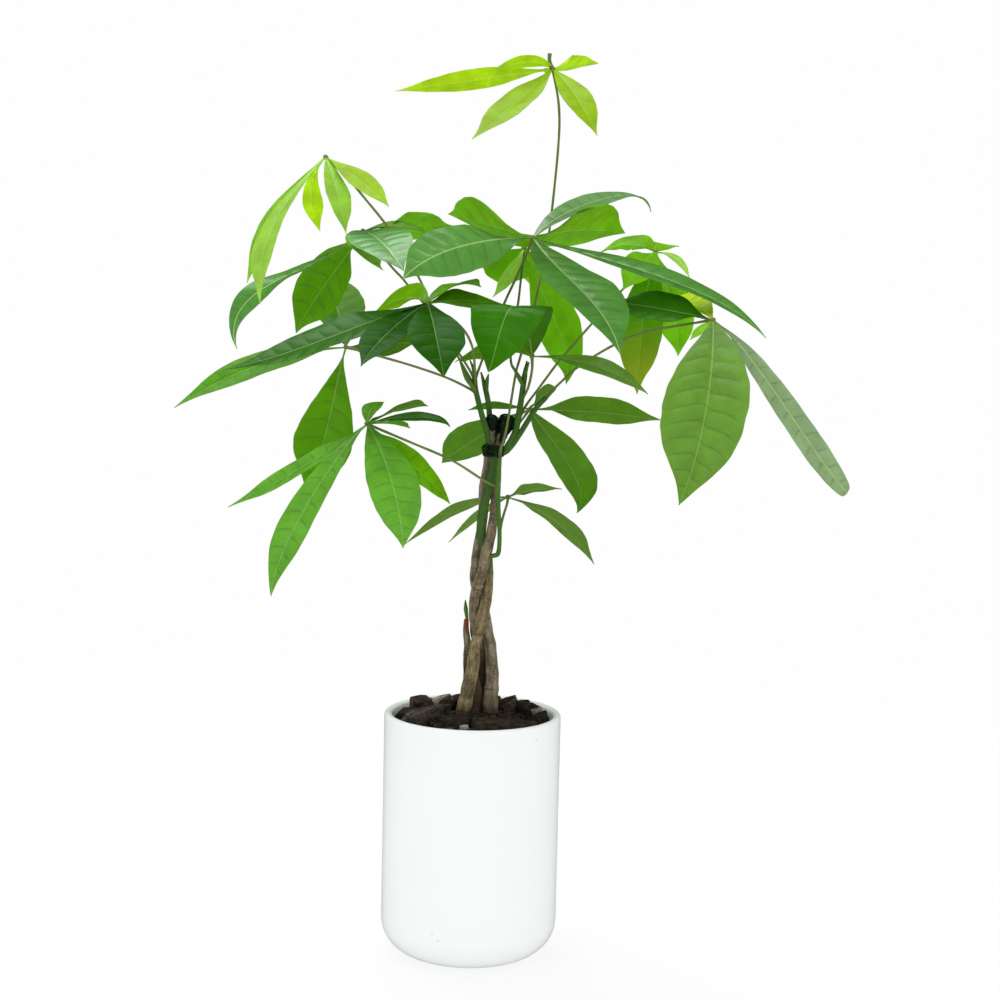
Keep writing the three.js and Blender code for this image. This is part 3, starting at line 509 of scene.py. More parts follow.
def ripple(dice, waves, turns, along, around):
    """Smooth unevenness of about -1 to 1 over a tube: a sum of sines, each with its own wavelength
    along the tube, whole number of turns round it, and random phase, so that it closes on itself."""
    total = 0
    for wave, turn in zip(waves, turns):
        total = total + np.sin(2 * np.pi * along / wave + turn * around + dice.uniform(0, 2 * np.pi))
    return total / math.sqrt(len(waves))


def tube_grid(places, tangents, radii, sides):
    """Rings round a path: at each place a circle square to the tangent, whose radius may change
    along the path and round the ring."""
    around = angles_round(sides)[..., None]
    side = unit(np.cross([0, 1, 0], tangents))
    front = np.cross(tangents, side)
    out = np.cos(around) * side[:, None] + np.sin(around) * front[:, None]
    return places[:, None] + out * np.broadcast_to(radii, (len(places), sides))[..., None]


def ball_grid(reach, rows, columns):
    """Rings of a ball of radius 1, from close to its foot to close to its head, with the rings'
    angles of rise and the angles round them. Reach is the share of a quarter turn that they rise."""
    rise = np.linspace(-reach, reach, rows)[:, None] * np.pi / 2
    around = angles_round(columns)
    level = np.cos(rise)
    grid = np.stack([level * np.cos(around), level * np.sin(around), np.sin(rise) + 0 * around], axis=-1)
    return grid, rise, around


# Sizes of the stems' fine surface. The heights are those on a stem of the usual radius.
STEM_STEP = 1.3
STEM_SIDES = 28
STUB_SIDES = 18
BRANCH_SIDES = 14
BUD_SIDES = 12
USUAL_RADIUS = 4
BARK_RIDGE = 0.34
RIDGE_WAVES, RIDGE_TURNS = (90, 70, 120, 55), (3, 5, 7, 4)
BARK_LUMP = 0.2
LUMP_WAVES, LUMP_TURNS = (31, 17, 11, 23), (1, 2, 0, 1)
GREEN_RELIEF = 0.2
SCAR_RISE = 0.2
SCAR_WIDTH = 0.8
SCAR_TILT = 0.5
SCAR_FIRST = 4
SCAR_SPACING = (22, 60)


def stem_shell(points, sides, dice, damp, greening=None, bright=None, grey=0.0, red=None):
    """A stem: a tube whose radius follows its points, with long low ridges and lumps on bark, and a
    raised leaf scar right round it every few centimetres. One without a brightness of green is bark.
    Damp and red are the view's rows over which the bark is marked as darkened and as reddish: damp
    near the soil, and painted shade where a stem stands behind the others."""
    places, tangents, distances, radius, rows = stem_line(points, STEM_STEP)
    woody = np.full_like(rows, bright is None)
    if greening:
        woody = GREEN_BARK + (1 - GREEN_BARK) * ease(rows, *reversed(greening))
    around = angles_round(sides)
    far = distances[:, None]
    ridges = ripple(dice, RIDGE_WAVES, RIDGE_TURNS, far, around)
    lumps = ripple(dice, LUMP_WAVES, LUMP_TURNS, far, around)
    relief = (GREEN_RELIEF + (1 - GREEN_RELIEF) * woody) * (BARK_RIDGE * ridges + BARK_LUMP * lumps)
    scar = dice.uniform(SCAR_FIRST, SCAR_SPACING[1])
    scars = np.zeros_like(far)
    while scar < distances[-1]:
        tilt = SCAR_TILT * np.sin(around + dice.uniform(0, 2 * np.pi))
        scars = scars + np.exp(-((far - scar - tilt) / SCAR_WIDTH) ** 2)
        scar += dice.uniform(*SCAR_SPACING)
    relief = (relief + SCAR_RISE * scars) * radius / USUAL_RADIUS
    marks = {
        "woody": woody, "bright": bright or 0.0, "grey": grey, "scar": scars, "ridge": ridges,
        "damp": ease(rows, *damp), "red": 1 - ease(rows, *reversed(red)) if red else 0.0,
    }
    return ringed(tube_grid(places, tangents, radius + relief, sides), marks)


# Sizes of a leaflet's fine surface: counts, millimetres, or shares of its length or half width
BLADE_ROW_STEP = 1.3
BLADE_ROWS = (40, 120)
BLADE_COLUMNS = 22
COLUMN_CROWDING = 1.3
TIP_DRAW = 0.3
TIP_DRAW_SPAN = (0.75, 0.96)
EDGE_RAGGED = 0.012
EDGE_WAVES = (0.23, 0.11)
VEIN_SPACING = 12.5
VEIN_PAIRS_LEAST = 5
VEIN_LEAN = 0.25
VEIN_CURVE = 0.2
VEIN_STAGGER = 0.2
STAGGER_REACH = 0.12
SWELL_MIDDLE = 0.6
QUILT_HALF_WIDTH = 20
QUILT_FROM_RIB, QUILT_TO_EDGE = (0.02, 0.2), (0.75, 1)
QUILT_FROM_BASE, QUILT_TO_TIP = (0.02, 0.15), (0.85, 1)
RIB_RISE = 0.7
RIB_WIDTH = 0.7
RIB_THINNING = 0.8
RIB_ABOVE = 0.15
TONE_SPREAD = 0.05


def half_width(width, belly, full, t):
    """Half of a leaflet's outline: half a sine wave, shifted so that it is widest at the belly and
    raised to the power full, drawn in before the tip, and never under the stub at the base."""
    belly_power = math.log(0.5) / math.log(belly)
    swell = np.clip(np.sin(np.pi * t ** belly_power), 0, 1) ** full
    outline = width / 2 * swell * (1 - TIP_DRAW * full * ease(t, *TIP_DRAW_SPAN))
    return np.maximum(outline, BLADE_STUB + (BLADE_TIP - BLADE_STUB) * t)


def blade_frame(points, roll, twist, t):
    """A blade's rib at shares t of its length, and there the unit vectors across the blade and square
    to its face. Roll turns them over the first stretch, and twist over the outer half, in degrees."""
    rib = through(points, t)
    tangent = unit(np.gradient(rib, axis=0))
    away = points[-1] - points[0]
    level = unit(np.array([away[1], -away[0], 0.0]))
    flat = unit(level - (tangent @ level)[:, None] * tangent)
    up = np.cross(flat, tangent)
    turn = np.radians(roll * ease(t, 0, TURN_REACH) + twist * ease(t, TWIST_START, 1))[:, None]
    side = flat * np.cos(turn) + up * np.sin(turn)
    face = up * np.cos(turn) - flat * np.sin(turn)
    return rib, side, face


def leaflet_shell(hub, plan, tone, gloss, quilting, dice):
    """A leaflet: a thin closed blade along a curved rib. Across it, height is the fold's slope times
    the distance from the rib, less a share of its square for the drooping margin. The blade swells
    between its side veins by the root of a sine, and its edge is gently waved."""
    points = seen([hub, *plan.via, plan.tip])
    length = np.linalg.norm(np.diff(points, axis=0), axis=1).sum()
    t = np.linspace(0, 1, int(np.clip(length / BLADE_ROW_STEP, *BLADE_ROWS)) + 1)
    rib, side, face = blade_frame(points, plan.roll, plan.twist, t)
    u = np.linspace(-1, 1, BLADE_COLUMNS + 1)
    s = (np.sign(u) * np.abs(u) ** COLUMN_CROWDING)[None]
    reach = np.abs(s)
    far = t[:, None]
    half = half_width(plan.width, plan.belly, plan.full, far)
    ragged = 1 + EDGE_RAGGED * ripple(dice, EDGE_WAVES, (0, 0), far, 0) * reach
    across = s * half * ragged
    rise = plan.fold * BLADE_FOLD * (reach - BLADE_DROOP * s ** 2) * half
    wave = plan.width * BLADE_WAVE * np.sin(np.pi * far) * np.sin(2 * np.pi * BLADE_WAVES * far)
    edge = -np.sign(s) * s ** 2 * wave
    pairs = max(VEIN_PAIRS_LEAST, round(length / VEIN_SPACING))
    lean = half / length * (VEIN_LEAN * reach + VEIN_CURVE * reach ** 4)
    vein = pairs * (far - lean) + VEIN_STAGGER * np.sign(s) * ease(reach, 0, STAGGER_REACH)
    swell = np.sqrt(np.abs(np.sin(np.pi * vein))) - SWELL_MIDDLE
    fade = ease(reach, *QUILT_FROM_RIB) * (1 - ease(reach, *QUILT_TO_EDGE)) * ease(far, *QUILT_FROM_BASE)
    quilt = quilting * (half / QUILT_HALF_WIDTH) * swell * fade * (1 - ease(far, *QUILT_TO_TIP))
    height = rise + edge + quilt
    thick = BLADE_MIDDLE + (BLADE_MARGIN - BLADE_MIDDLE) * reach
    keel = RIB_RISE * (1 - RIB_THINNING * far) * np.exp(-(across / RIB_WIDTH) ** 2)

    def sheet(lift):
        """The blade's points, each lifted along the face."""
        return rib[:, None] + side[:, None] * across[..., None] + face[:, None] * lift[..., None]

    top = sheet(height + thick / 2 - RIB_ABOVE * keel)
    bottom = sheet(height - thick / 2 - keel)
    grid = np.concatenate([top, bottom[:, ::-1]], axis=1)

    def both(values):
        """One side's values for both sides, as the grid has them."""
        values = np.broadcast_to(values, across.shape)
        return np.concatenate([values, values[:, ::-1]], axis=1).ravel()

    rows, columns = grid.shape[:2]
    k = np.arange(BLADE_COLUMNS)
    foot = np.stack([k, columns - 1 - k, columns - 2 - k, k + 1], axis=1)
    head = foot[:, ::-1] + (rows - 1) * columns
    under = np.concatenate([np.zeros_like(across), np.ones_like(across)], axis=1).ravel()
    uneven = dice.uniform(1 - TONE_SPREAD, 1 + TONE_SPREAD)
    red, green, blue = (channel * uneven for channel in tone)
    mirrored = {
        "rib": across, "vein": vein, "reach": reach, "along": far, "red": red, "green": green,
        "blue": blue, "gloss": gloss, "warm_tip": plan.warm_tip,
    }
    marks = {"under": under, **{mark: both(values) for mark, values in mirrored.items()}}
    return Shell(grid.reshape(-1, 3), [woven(rows, columns), foot, head], marks)


# Sizes of a stalk's fine surface
STALK_STEP = 2.5
STALK_SIDES = 12
STALK_SLIMNESS = 0.78
STALK_UNEVEN = 0.04
STALK_WAVES = (37, 19)
SWELLING = 0.5
SWELLING_LENGTH = 5


def stalk_shell(points, radius, dice):
    """A leaf's stalk: a slim tube that swells a little at its foot and below its leaflets."""
    places, tangents, distances, _ = smooth_path(seen(points), STALK_STEP)
    near_foot = np.exp(-distances / SWELLING_LENGTH)
    near_hub = np.exp(-(distances[-1] - distances) / SWELLING_LENGTH)
    uneven = STALK_UNEVEN * ripple(dice, STALK_WAVES, (0, 0), distances, 0)
    radii = radius * (STALK_SLIMNESS + SWELLING * (near_foot + near_hub) + uneven)
    grid = tube_grid(places, tangents, radii[:, None], STALK_SIDES)
    return ringed(grid, {"foot": near_foot[:, None]}, finish=1)


# Sizes of a knot's fine surface, and a hub's radius there as a share of the solid's
KNOT_REACH = 0.995
KNOT_ROWS, KNOT_SIDES = 14, 20
KNOT_LUMP = 0.12
KNOT_WAVES, KNOT_TURNS = (2.2, 1.3, 3.1), (1, 2, 3)
HUB_SHARE = 0.9


def knot_shell(centre, radii, dice, finish=0, lump=KNOT_LUMP):
    """A lumpy rounded body: an ellipsoid, its radius made uneven by a few sines."""
    ball, rise, around = ball_grid(KNOT_REACH, KNOT_ROWS, KNOT_SIDES)
    uneven = 1 + lump * ripple(dice, KNOT_WAVES, KNOT_TURNS, rise, around) * np.cos(rise)
    return ringed(ball * uneven[..., None] * radii + centre, {}, finish)


# A Mix node's setting for colours, and the numbers of its inputs
COLOUR_MIX = {"data_type": "RGBA"}
FACTOR, FIRST, SECOND = 0, 6, 7


def linear(hex_colour):
    """An sRGB hex colour as linear red, green, blue and 1: the sRGB curve undone."""
    shares = [int(hex_colour[i:i + 2], 16) / 255 for i in (1, 3, 5)]
    return [*(c / 12.92 if c <= 0.04045 else ((c + 0.055) / 1.055) ** 2.4 for c in shares), 1.0]


def add(tree, kind, inputs=None, **settings):
    """Adds a node with its settings and returns it. Each input is a plain value, a hex colour, a
    socket, or a node whose first live output feeds it."""
    made = tree.nodes.new("ShaderNode" + kind)
    for name, value in settings.items():
        setattr(made, name, value)
    for key, value in (inputs or {}).items():
        if isinstance(value, bpy.types.Node):
            value = next(output for output in value.outputs if output.enabled)
        if isinstance(value, bpy.types.NodeSocket):
            tree.links.new(value, made.inputs[key])
        else:
            made.inputs[key].default_value = linear(value) if isinstance(value, str) else value
    return made


def new_material(name):
    """An empty node material and its tree."""
    material = bpy.data.materials.new(name)
    material.use_nodes = True
    material.node_tree.nodes.clear()
    return material, material.node_tree


# How far from its middle the midrib's pale line fades out, in mm: at a blade's base, less this at the
# tip, and more on a glossy blade, where the extra width is a painted sheen along the rib
RIB_FADE = 0.72
RIB_TAPER = 0.5
RIB_SHEEN_WIDTH = 0.4


def leaf_blade(name, through_light, roughness, shine, sunk_shade, base_shade):
    """Living leaf blade: a thin waxy sheet, satin above and matt below, through which some light
    passes. The midrib is pale, and on glossy blades wider and brighter as a painted sheen. The side
    veins lie in furrows and are hardly paler, with painted shade beside them on the upper side, and
    glossy blades have a thin clear coat of wax."""
    material, tree = new_material(name)
    along, under, reach, gloss, warm_tip, from_rib, veins, red, green, blue = (
        add(tree, "Attribute", attribute_name=mark).outputs["Fac"]
        for mark in ("along", "under", "reach", "gloss", "warm_tip", "rib", "vein", "red", "green", "blue"))
    tone = add(tree, "CombineColor", {0: red, 1: green, 2: blue})
    place = add(tree, "TexCoord").outputs["Object"]

    # Soft mottling of about 15 mm, and the grain of the cells, drawn coarser than it is
    mottle = add(tree, "TexNoise", {"Vector": place, "Scale": 65, "Detail": 3})
    grain = add(tree, "TexNoise", {"Vector": place, "Scale": 420, "Detail": 2})
    shade, speck = (add(tree, "MapRange", {"Value": noise, "From Min": 0.3, "From Max": 0.7,
                                           "To Min": darkest, "To Max": lightest})
                    for noise, darkest, lightest in ((mottle, 0.88, 1.12), (grain, 0.96, 1.04)))
    both_shades = add(tree, "Math", {0: shade, 1: speck}, operation="MULTIPLY")
    body = add(tree, "VectorMath", {0: tone, "Scale": both_shades}, operation="SCALE")

    # Blades of the leaf and dark leaf finishes are drawn darker towards their base
    deeper = add(tree, "MapRange", {"Value": along, "From Max": 0.4, "To Min": base_shade},
                 interpolation_type="SMOOTHSTEP")
    body = add(tree, "VectorMath", {0: body, "Scale": deeper}, operation="SCALE")

    # The tip of some blades is turning yellow
    near_tip = add(tree, "MapRange", {"Value": along, "From Min": 0.45})
    yellow_share = add(tree, "Math", {0: near_tip, 1: warm_tip}, operation="MULTIPLY")
    body = add(tree, "Mix", {FACTOR: yellow_share, FIRST: body, SECOND: "#c9c23a"}, **COLOUR_MIX)

    # Painted shade: the upper side is darker where it sinks towards a side vein, the underside hardly
    vein_gap = add(tree, "Math", {0: veins, 1: 0.5}, operation="PINGPONG")
    inner = add(tree, "MapRange", {"Value": reach, "From Min": 0.6, "To Min": 1.0, "To Max": 0.0})
    vein_painted_shade = add(tree, "MapRange", {"Value": vein_gap, "From Max": 0.1, "To Min": sunk_shade, "To Max": 0.0},
               interpolation_type="SMOOTHSTEP")
    upper = add(tree, "Math", {0: under, 1: -0.7, 2: 1.0}, operation="MULTIPLY_ADD")
    for share in (inner, upper):
        vein_painted_shade = add(tree, "Math", {0: vein_painted_shade, 1: share}, operation="MULTIPLY")
    lightness = add(tree, "Math", {0: 1.0, 1: vein_painted_shade}, operation="SUBTRACT")
    body = add(tree, "VectorMath", {0: body, "Scale": lightness}, operation="SCALE")

    # The midrib is about 1 mm wide at the base and thins to the tip; on a glossy blade it is wider and
    # brighter, a painted sheen along the rib
    rib_width = add(tree, "Math", {0: along, 1: -RIB_TAPER, 2: RIB_FADE}, operation="MULTIPLY_ADD")
    rib_width = add(tree, "Math", {0: gloss, 1: RIB_SHEEN_WIDTH, 2: rib_width}, operation="MULTIPLY_ADD")
    rib_distance = add(tree, "Math", {0: from_rib}, operation="ABSOLUTE")
    rib_share = add(tree, "Math", {0: rib_distance, 1: rib_width}, operation="DIVIDE")
    rib = add(tree, "MapRange", {"Value": rib_share, "From Min": 0.4, "From Max": 1.1, "To Min": 0.42,
                                 "To Max": 0.0}, interpolation_type="SMOOTHSTEP")
    vein = add(tree, "MapRange", {"Value": vein_gap, "From Max": 0.05, "To Min": 0.1, "To Max": 0.0},
               interpolation_type="SMOOTHSTEP")
    vein = add(tree, "Math", {0: vein, 1: inner}, operation="MULTIPLY")
    rib_paleness_and_sheen = add(tree, "Math", {0: gloss, 1: 1.3, 2: 0.7}, operation="MULTIPLY_ADD")
    rib = add(tree, "Math", {0: rib, 1: rib_paleness_and_sheen}, operation="MULTIPLY")
    lines = add(tree, "Math", {0: vein, 1: rib}, operation="MAXIMUM")
    pale = add(tree, "Mix", {FACTOR: 0.7, FIRST: body, SECOND: "#cfe6a0"}, **COLOUR_MIX)
    above = add(tree, "Mix", {FACTOR: lines, FIRST: body, SECOND: pale}, **COLOUR_MIX)
    below = add(tree, "Mix", {FACTOR: 0.1, FIRST: above, SECOND: "#8cac38"}, **COLOUR_MIX)
    colour = add(tree, "Mix", {FACTOR: under, FIRST: above, SECOND: below}, **COLOUR_MIX)

    rough = add(tree, "MapRange", {"Value": under, "To Min": roughness, "To Max": 0.65})
    relief = add(tree, "Bump", {"Height": grain, "Strength": 0.15, "Distance": 0.0002})
    surface = add(tree, "BsdfPrincipled", {
        "Base Color": colour, "Roughness": rough, "Normal": relief, "IOR": 1.42,
        "Specular IOR Level": shine, "Coat Weight": gloss, "Coat Roughness": 0.22, "Coat IOR": 1.45,
    })
    glow = add(tree, "Mix", {FACTOR: 0.7, FIRST: colour, SECOND: "#d8e800"}, blend_type="MULTIPLY",
               **COLOUR_MIX)
    bright_glow = add(tree, "VectorMath", {0: glow, "Scale": 1.6}, operation="SCALE")
    passing = add(tree, "BsdfTranslucent", {"Color": bright_glow})
    sheet = add(tree, "MixShader", {0: through_light, 1: surface, 2: passing})
    add(tree, "OutputMaterial", {"Surface": sheet})
    return material


def green_stalk():
    """Young stalk: smooth living skin with a soft shine, olive green, browner at its foot."""
    material, tree = new_material("young_green_stalk")
    place = add(tree, "TexCoord").outputs["Object"]
    patches = add(tree, "TexNoise", {"Vector": place, "Scale": 60, "Detail": 3})
    foot = add(tree, "Attribute", attribute_name="foot").outputs["Fac"]
    skin = add(tree, "Mix", {FACTOR: patches, FIRST: "#566628", SECOND: "#84944a"}, **COLOUR_MIX)
    browned = add(tree, "Mix", {FACTOR: foot, FIRST: skin, SECOND: "#4a4a1e"}, **COLOUR_MIX)
    surface = add(tree, "BsdfPrincipled", {"Base Color": browned, "Roughness": 0.5,
                                           "Specular IOR Level": 0.3})
    add(tree, "OutputMaterial", {"Surface": surface})
    return material


def stem_bark():
    """Bark on a young braided trunk: matt, streaked along the stem and darker in its furrows and
    round its leaf scars. It turns to smooth green skin on younger growth."""
    material, tree = new_material("living_bark")
    woody, bright, greyness, scar, ridge, damp_and_shade, redness = (
        add(tree, "Attribute", attribute_name=mark).outputs["Fac"]
        for mark in ("woody", "bright", "grey", "scar", "ridge", "damp", "red"))
    place = add(tree, "TexCoord").outputs["Object"]
    drawn = add(tree, "Mapping", {"Vector": place, "Scale": (1, 1, 0.3)})
    streaks = add(tree, "TexNoise", {"Vector": drawn, "Scale": 480, "Detail": 6, "Roughness": 0.7})
    patches = add(tree, "TexNoise", {"Vector": place, "Scale": 110, "Detail": 4})
    crumbs = add(tree, "TexNoise", {"Vector": place, "Scale": 900, "Detail": 3})
    spread = add(tree, "MapRange", {"Value": streaks, "From Min": 0.3, "From Max": 0.7})
    brown, grey = (add(tree, "Mix", {FACTOR: spread, FIRST: dark, SECOND: light}, **COLOUR_MIX)
                   for dark, light in (("#5c4c32", "#9c8a60"), ("#66594b", "#a09280")))
    bark = add(tree, "Mix", {FACTOR: greyness, FIRST: brown, SECOND: grey}, **COLOUR_MIX)
    stained = add(tree, "MapRange", {"Value": patches, "From Min": 0.42, "From Max": 0.62, "To Max": 0.6})
    flaked = add(tree, "MapRange", {"Value": crumbs, "From Min": 0.52, "From Max": 0.7, "To Max": 0.45})
    furrowed = add(tree, "MapRange", {"Value": ridge, "From Min": 0.1, "From Max": -1.2, "To Max": 0.35})
    scarred = add(tree, "MapRange", {"Value": scar, "From Min": 0.35, "To Max": 0.7})
    # Darker towards the soil: damp there, and on the back stem painted shade, as it stands behind the front
    # stems
    damp_and_shade_darkening = add(tree, "Math", {0: damp_and_shade, 1: 0.9}, operation="MULTIPLY")
    for share, colour in [(stained, "#2e2516"), (flaked, "#bcae88"), (furrowed, "#2a2013"),
                          (scarred, "#332817"), (redness, "#7c4526"), (damp_and_shade_darkening, "#2c2014")]:
        bark = add(tree, "Mix", {FACTOR: share, FIRST: bark, SECOND: colour}, **COLOUR_MIX)
    dull, fresh = (add(tree, "Mix", {FACTOR: patches, FIRST: dark, SECOND: light}, **COLOUR_MIX)
                   for dark, light in (("#284c14", "#467426"), ("#33621a", "#64902e")))
    green = add(tree, "Mix", {FACTOR: bright, FIRST: dull, SECOND: fresh}, **COLOUR_MIX)
    skin = add(tree, "Mix", {FACTOR: woody, FIRST: green, SECOND: bark}, **COLOUR_MIX)
    rough = add(tree, "MapRange", {"Value": woody, "To Min": 0.42, "To Max": 0.85})
    height = add(tree, "Math", {0: streaks, 1: woody}, operation="MULTIPLY")
    relief = add(tree, "Bump", {"Height": height, "Strength": 0.7, "Distance": 0.0006})
    surface = add(tree, "BsdfPrincipled", {"Base Color": skin, "Roughness": rough, "Normal": relief,
                                           "Specular IOR Level": 0.25})
    add(tree, "OutputMaterial", {"Surface": surface})
    return material


# Iron specks in the glaze: places on the front wall, as columns and rows of the view, their radius,
# and the share of it that is dark throughout
GLAZE_SPECKS = [(537, 740), (550, 802), (432, 934), (438, 941)]
SPECK_RADIUS = 0.45
SPECK_CORE = 0.6


def on_wall(column, row):
    """The place where a line of sight first meets the pot's round wall."""
    start, ahead = EYE, seen([(column, row, 0)])[0] - EYE
    a = ahead[0] ** 2 + ahead[1] ** 2
    b = start[0] * ahead[0] + start[1] * ahead[1]
    c = start[0] ** 2 + start[1] ** 2 - POT_RADIUS ** 2
    return start + ahead * (-b - math.sqrt(b * b - a * c)) / a


def white_glaze():
    """Glazed stoneware: a smooth white glass coat, fired on, with a faint ripple and a few tiny iron
    specks."""
    material, tree = new_material("white_glazed_stoneware")
    place = add(tree, "TexCoord").outputs["Object"]
    cloud = add(tree, "TexNoise", {"Vector": place, "Scale": 14, "Detail": 2})
    glaze = add(tree, "Mix", {FACTOR: cloud, FIRST: "#eff3f2", SECOND: "#f3f6f5"}, **COLOUR_MIX)
    for column, row in GLAZE_SPECKS:
        spot = tuple(on_wall(column, row) * MM)
        speck = add(tree, "VectorMath", {0: place, 1: spot}, operation="DISTANCE")
        share = add(tree, "MapRange", {"Value": speck, "From Min": SPECK_RADIUS * MM * SPECK_CORE,
                                       "From Max": SPECK_RADIUS * MM, "To Min": 0.85, "To Max": 0.0})
        glaze = add(tree, "Mix", {FACTOR: share, FIRST: glaze, SECOND: "#6b5b4f"}, **COLOUR_MIX)
    ripples = add(tree, "TexNoise", {"Vector": place, "Scale": 45, "Detail": 1})
    relief = add(tree, "Bump", {"Height": ripples, "Strength": 0.06, "Distance": 0.001})
    surface = add(tree, "BsdfPrincipled", {"Base Color": glaze, "Normal": relief, "Roughness": 0.2,
                                           "IOR": 1.5})
    add(tree, "OutputMaterial", {"Surface": surface})
    return material


def bark_chips():
    """Composted pine bark: rough, fibrous chips, dark and damp, with worn paler faces. The grain runs
    along each chip."""
    material, tree = new_material("composted_bark")
    warmth, paleness, x, y, z = (
        add(tree, "Attribute", attribute_name=mark).outputs["Fac"]
        for mark in ("warm", "pale", "grain_x", "grain_y", "grain_z"))
    grain = add(tree, "CombineXYZ", {0: x, 1: y, 2: z})
    fibres = add(tree, "TexNoise", {"Vector": grain, "Scale": 0.5, "Detail": 6, "Roughness": 0.7})
    place = add(tree, "TexCoord").outputs["Object"]
    patches = add(tree, "TexNoise", {"Vector": place, "Scale": 130, "Detail": 4})
    spread = add(tree, "MapRange", {"Value": fibres, "From Min": 0.38, "From Max": 0.62})
    black, warm, grey = (
        add(tree, "Mix", {FACTOR: spread, FIRST: dark, SECOND: light}, **COLOUR_MIX)
        for dark, light in (("#0c0a08", "#342b26"), ("#231810", "#5f4a3a"), ("#6a6455", "#c0b9a6")))
    body = add(tree, "Mix", {FACTOR: warmth, FIRST: black, SECOND: warm}, **COLOUR_MIX)
    body = add(tree, "Mix", {FACTOR: paleness, FIRST: body, SECOND: grey}, **COLOUR_MIX)
    damp = add(tree, "MapRange", {"Value": patches, "From Min": 0.5, "From Max": 0.65, "To Max": 0.7})
    body = add(tree, "Mix", {FACTOR: damp, FIRST: body, SECOND: "#15100c"}, **COLOUR_MIX)
    relief = add(tree, "Bump", {"Height": fibres, "Strength": 0.9, "Distance": 0.0014})
    surface = add(tree, "BsdfPrincipled", {"Base Color": body, "Normal": relief, "Roughness": 0.8,
                                           "Specular IOR Level": 0.3})
    add(tree, "OutputMaterial", {"Surface": surface})
    return material


def plain_finish(name, colours, roughness, grain, depth):
    """A finish of two near colours mixed by noise, with a bump of the same grain, both in mm."""
    material, tree = new_material(name)
    place = add(tree, "TexCoord").outputs["Object"]
    noise = add(tree, "TexNoise", {"Vector": place, "Scale": 1 / (grain * MM), "Detail": 4})
    spread = add(tree, "MapRange", {"Value": noise, "From Min": 0.35, "From Max": 0.65})
    body = add(tree, "Mix", {FACTOR: spread, FIRST: colours[0], SECOND: colours[1]}, **COLOUR_MIX)
    relief = add(tree, "Bump", {"Height": noise, "Strength": 0.6, "Distance": depth * MM})
    surface = add(tree, "BsdfPrincipled", {"Base Color": body, "Normal": relief, "Roughness": roughness})
    add(tree, "OutputMaterial", {"Surface": surface})
    return material


# Fine steps of the pot's surface, how close its profile's ends come to the axis, and the width of the
# flat strip round its underside
POT_SIDES = 160
POT_FOOT_STEPS, POT_RIM_STEPS, POT_CORNER_STEPS = 16, 12, 8
POT_RISE_STEPS, POT_FALL_STEPS = 8, 6
NEAR_AXIS = 0.5
POT_STRIP = 2


def arc(centre, radius, start, end, steps):
    """Points of a round stretch of a profile, from one angle to another in degrees."""
    turn = np.radians(np.linspace(start, end, steps + 1))
    return np.stack([centre[0] + radius * np.cos(turn), centre[1] + radius * np.sin(turn)], axis=1)


def turned_shell(profile, sides):
    """A profile of [radius, height] points turned about the pot's axis. Its ends lie near the axis
    and are closed there."""
    around = angles_round(sides)
    radius, height = profile[:, :1], profile[:, 1:]
    grid = np.stack([radius * np.cos(around), radius * np.sin(around), height + 0 * around], axis=-1)
    return ringed(grid, {})


def pot_profile():
    """The pot's section: flat underside, rounded foot, straight wall, half-round rim, and the inside
    down to its rounded floor."""
    inner, lip = POT_RADIUS - POT_WALL, POT_WALL / 2
    rise = np.linspace(POT_FOOT_RADIUS, POT_HEIGHT - lip, POT_RISE_STEPS + 1)[1:-1]
    fall = np.linspace(POT_HEIGHT - lip, POT_FLOOR + POT_INNER_CORNER, POT_FALL_STEPS + 1)[1:-1]
    return np.concatenate([
        [[NEAR_AXIS, 0]], [[POT_RADIUS - POT_FOOT_RADIUS - POT_STRIP, 0]],
        arc((POT_RADIUS - POT_FOOT_RADIUS, POT_FOOT_RADIUS), POT_FOOT_RADIUS, -90, 0, POT_FOOT_STEPS),
        np.stack([np.full_like(rise, POT_RADIUS), rise], axis=1),
        arc((POT_RADIUS - lip, POT_HEIGHT - lip), lip, 0, 180, POT_RIM_STEPS),
        np.stack([np.full_like(fall, inner), fall], axis=1),
        arc((inner - POT_INNER_CORNER, POT_FLOOR + POT_INNER_CORNER), POT_INNER_CORNER, 0, -90,
            POT_CORNER_STEPS),
        [[NEAR_AXIS, POT_FLOOR]],
    ])


def soil_top(radius):
    """The soil's height at a distance from the pot's axis: a low mound, by the distance's square."""
    reach = POT_RADIUS - POT_WALL
    return SOIL_AT_MIDDLE + (SOIL_AT_WALL - SOIL_AT_MIDDLE) * (radius / reach) ** 2


# Sizes of the fine soil's surface, which lies a little below the mound of the solids, between chips,
# then its underside's inner ring as a share of the outer one, and how warm its colour is
SOIL_SIDES = 150
SOIL_RINGS = 60
SOIL_CENTRE = 0.6
SOIL_ROUGHNESS = 0.9
SOIL_WAVES = (19, 13, 9, 6.5, 4.5, 3.2)
SOIL_WAVE_POWER = 0.6
SOIL_BELOW = 1.5
SOIL_DEPTH = 12
SOIL_INNER_RING = 0.02
SOIL_WARMTH = 0.05


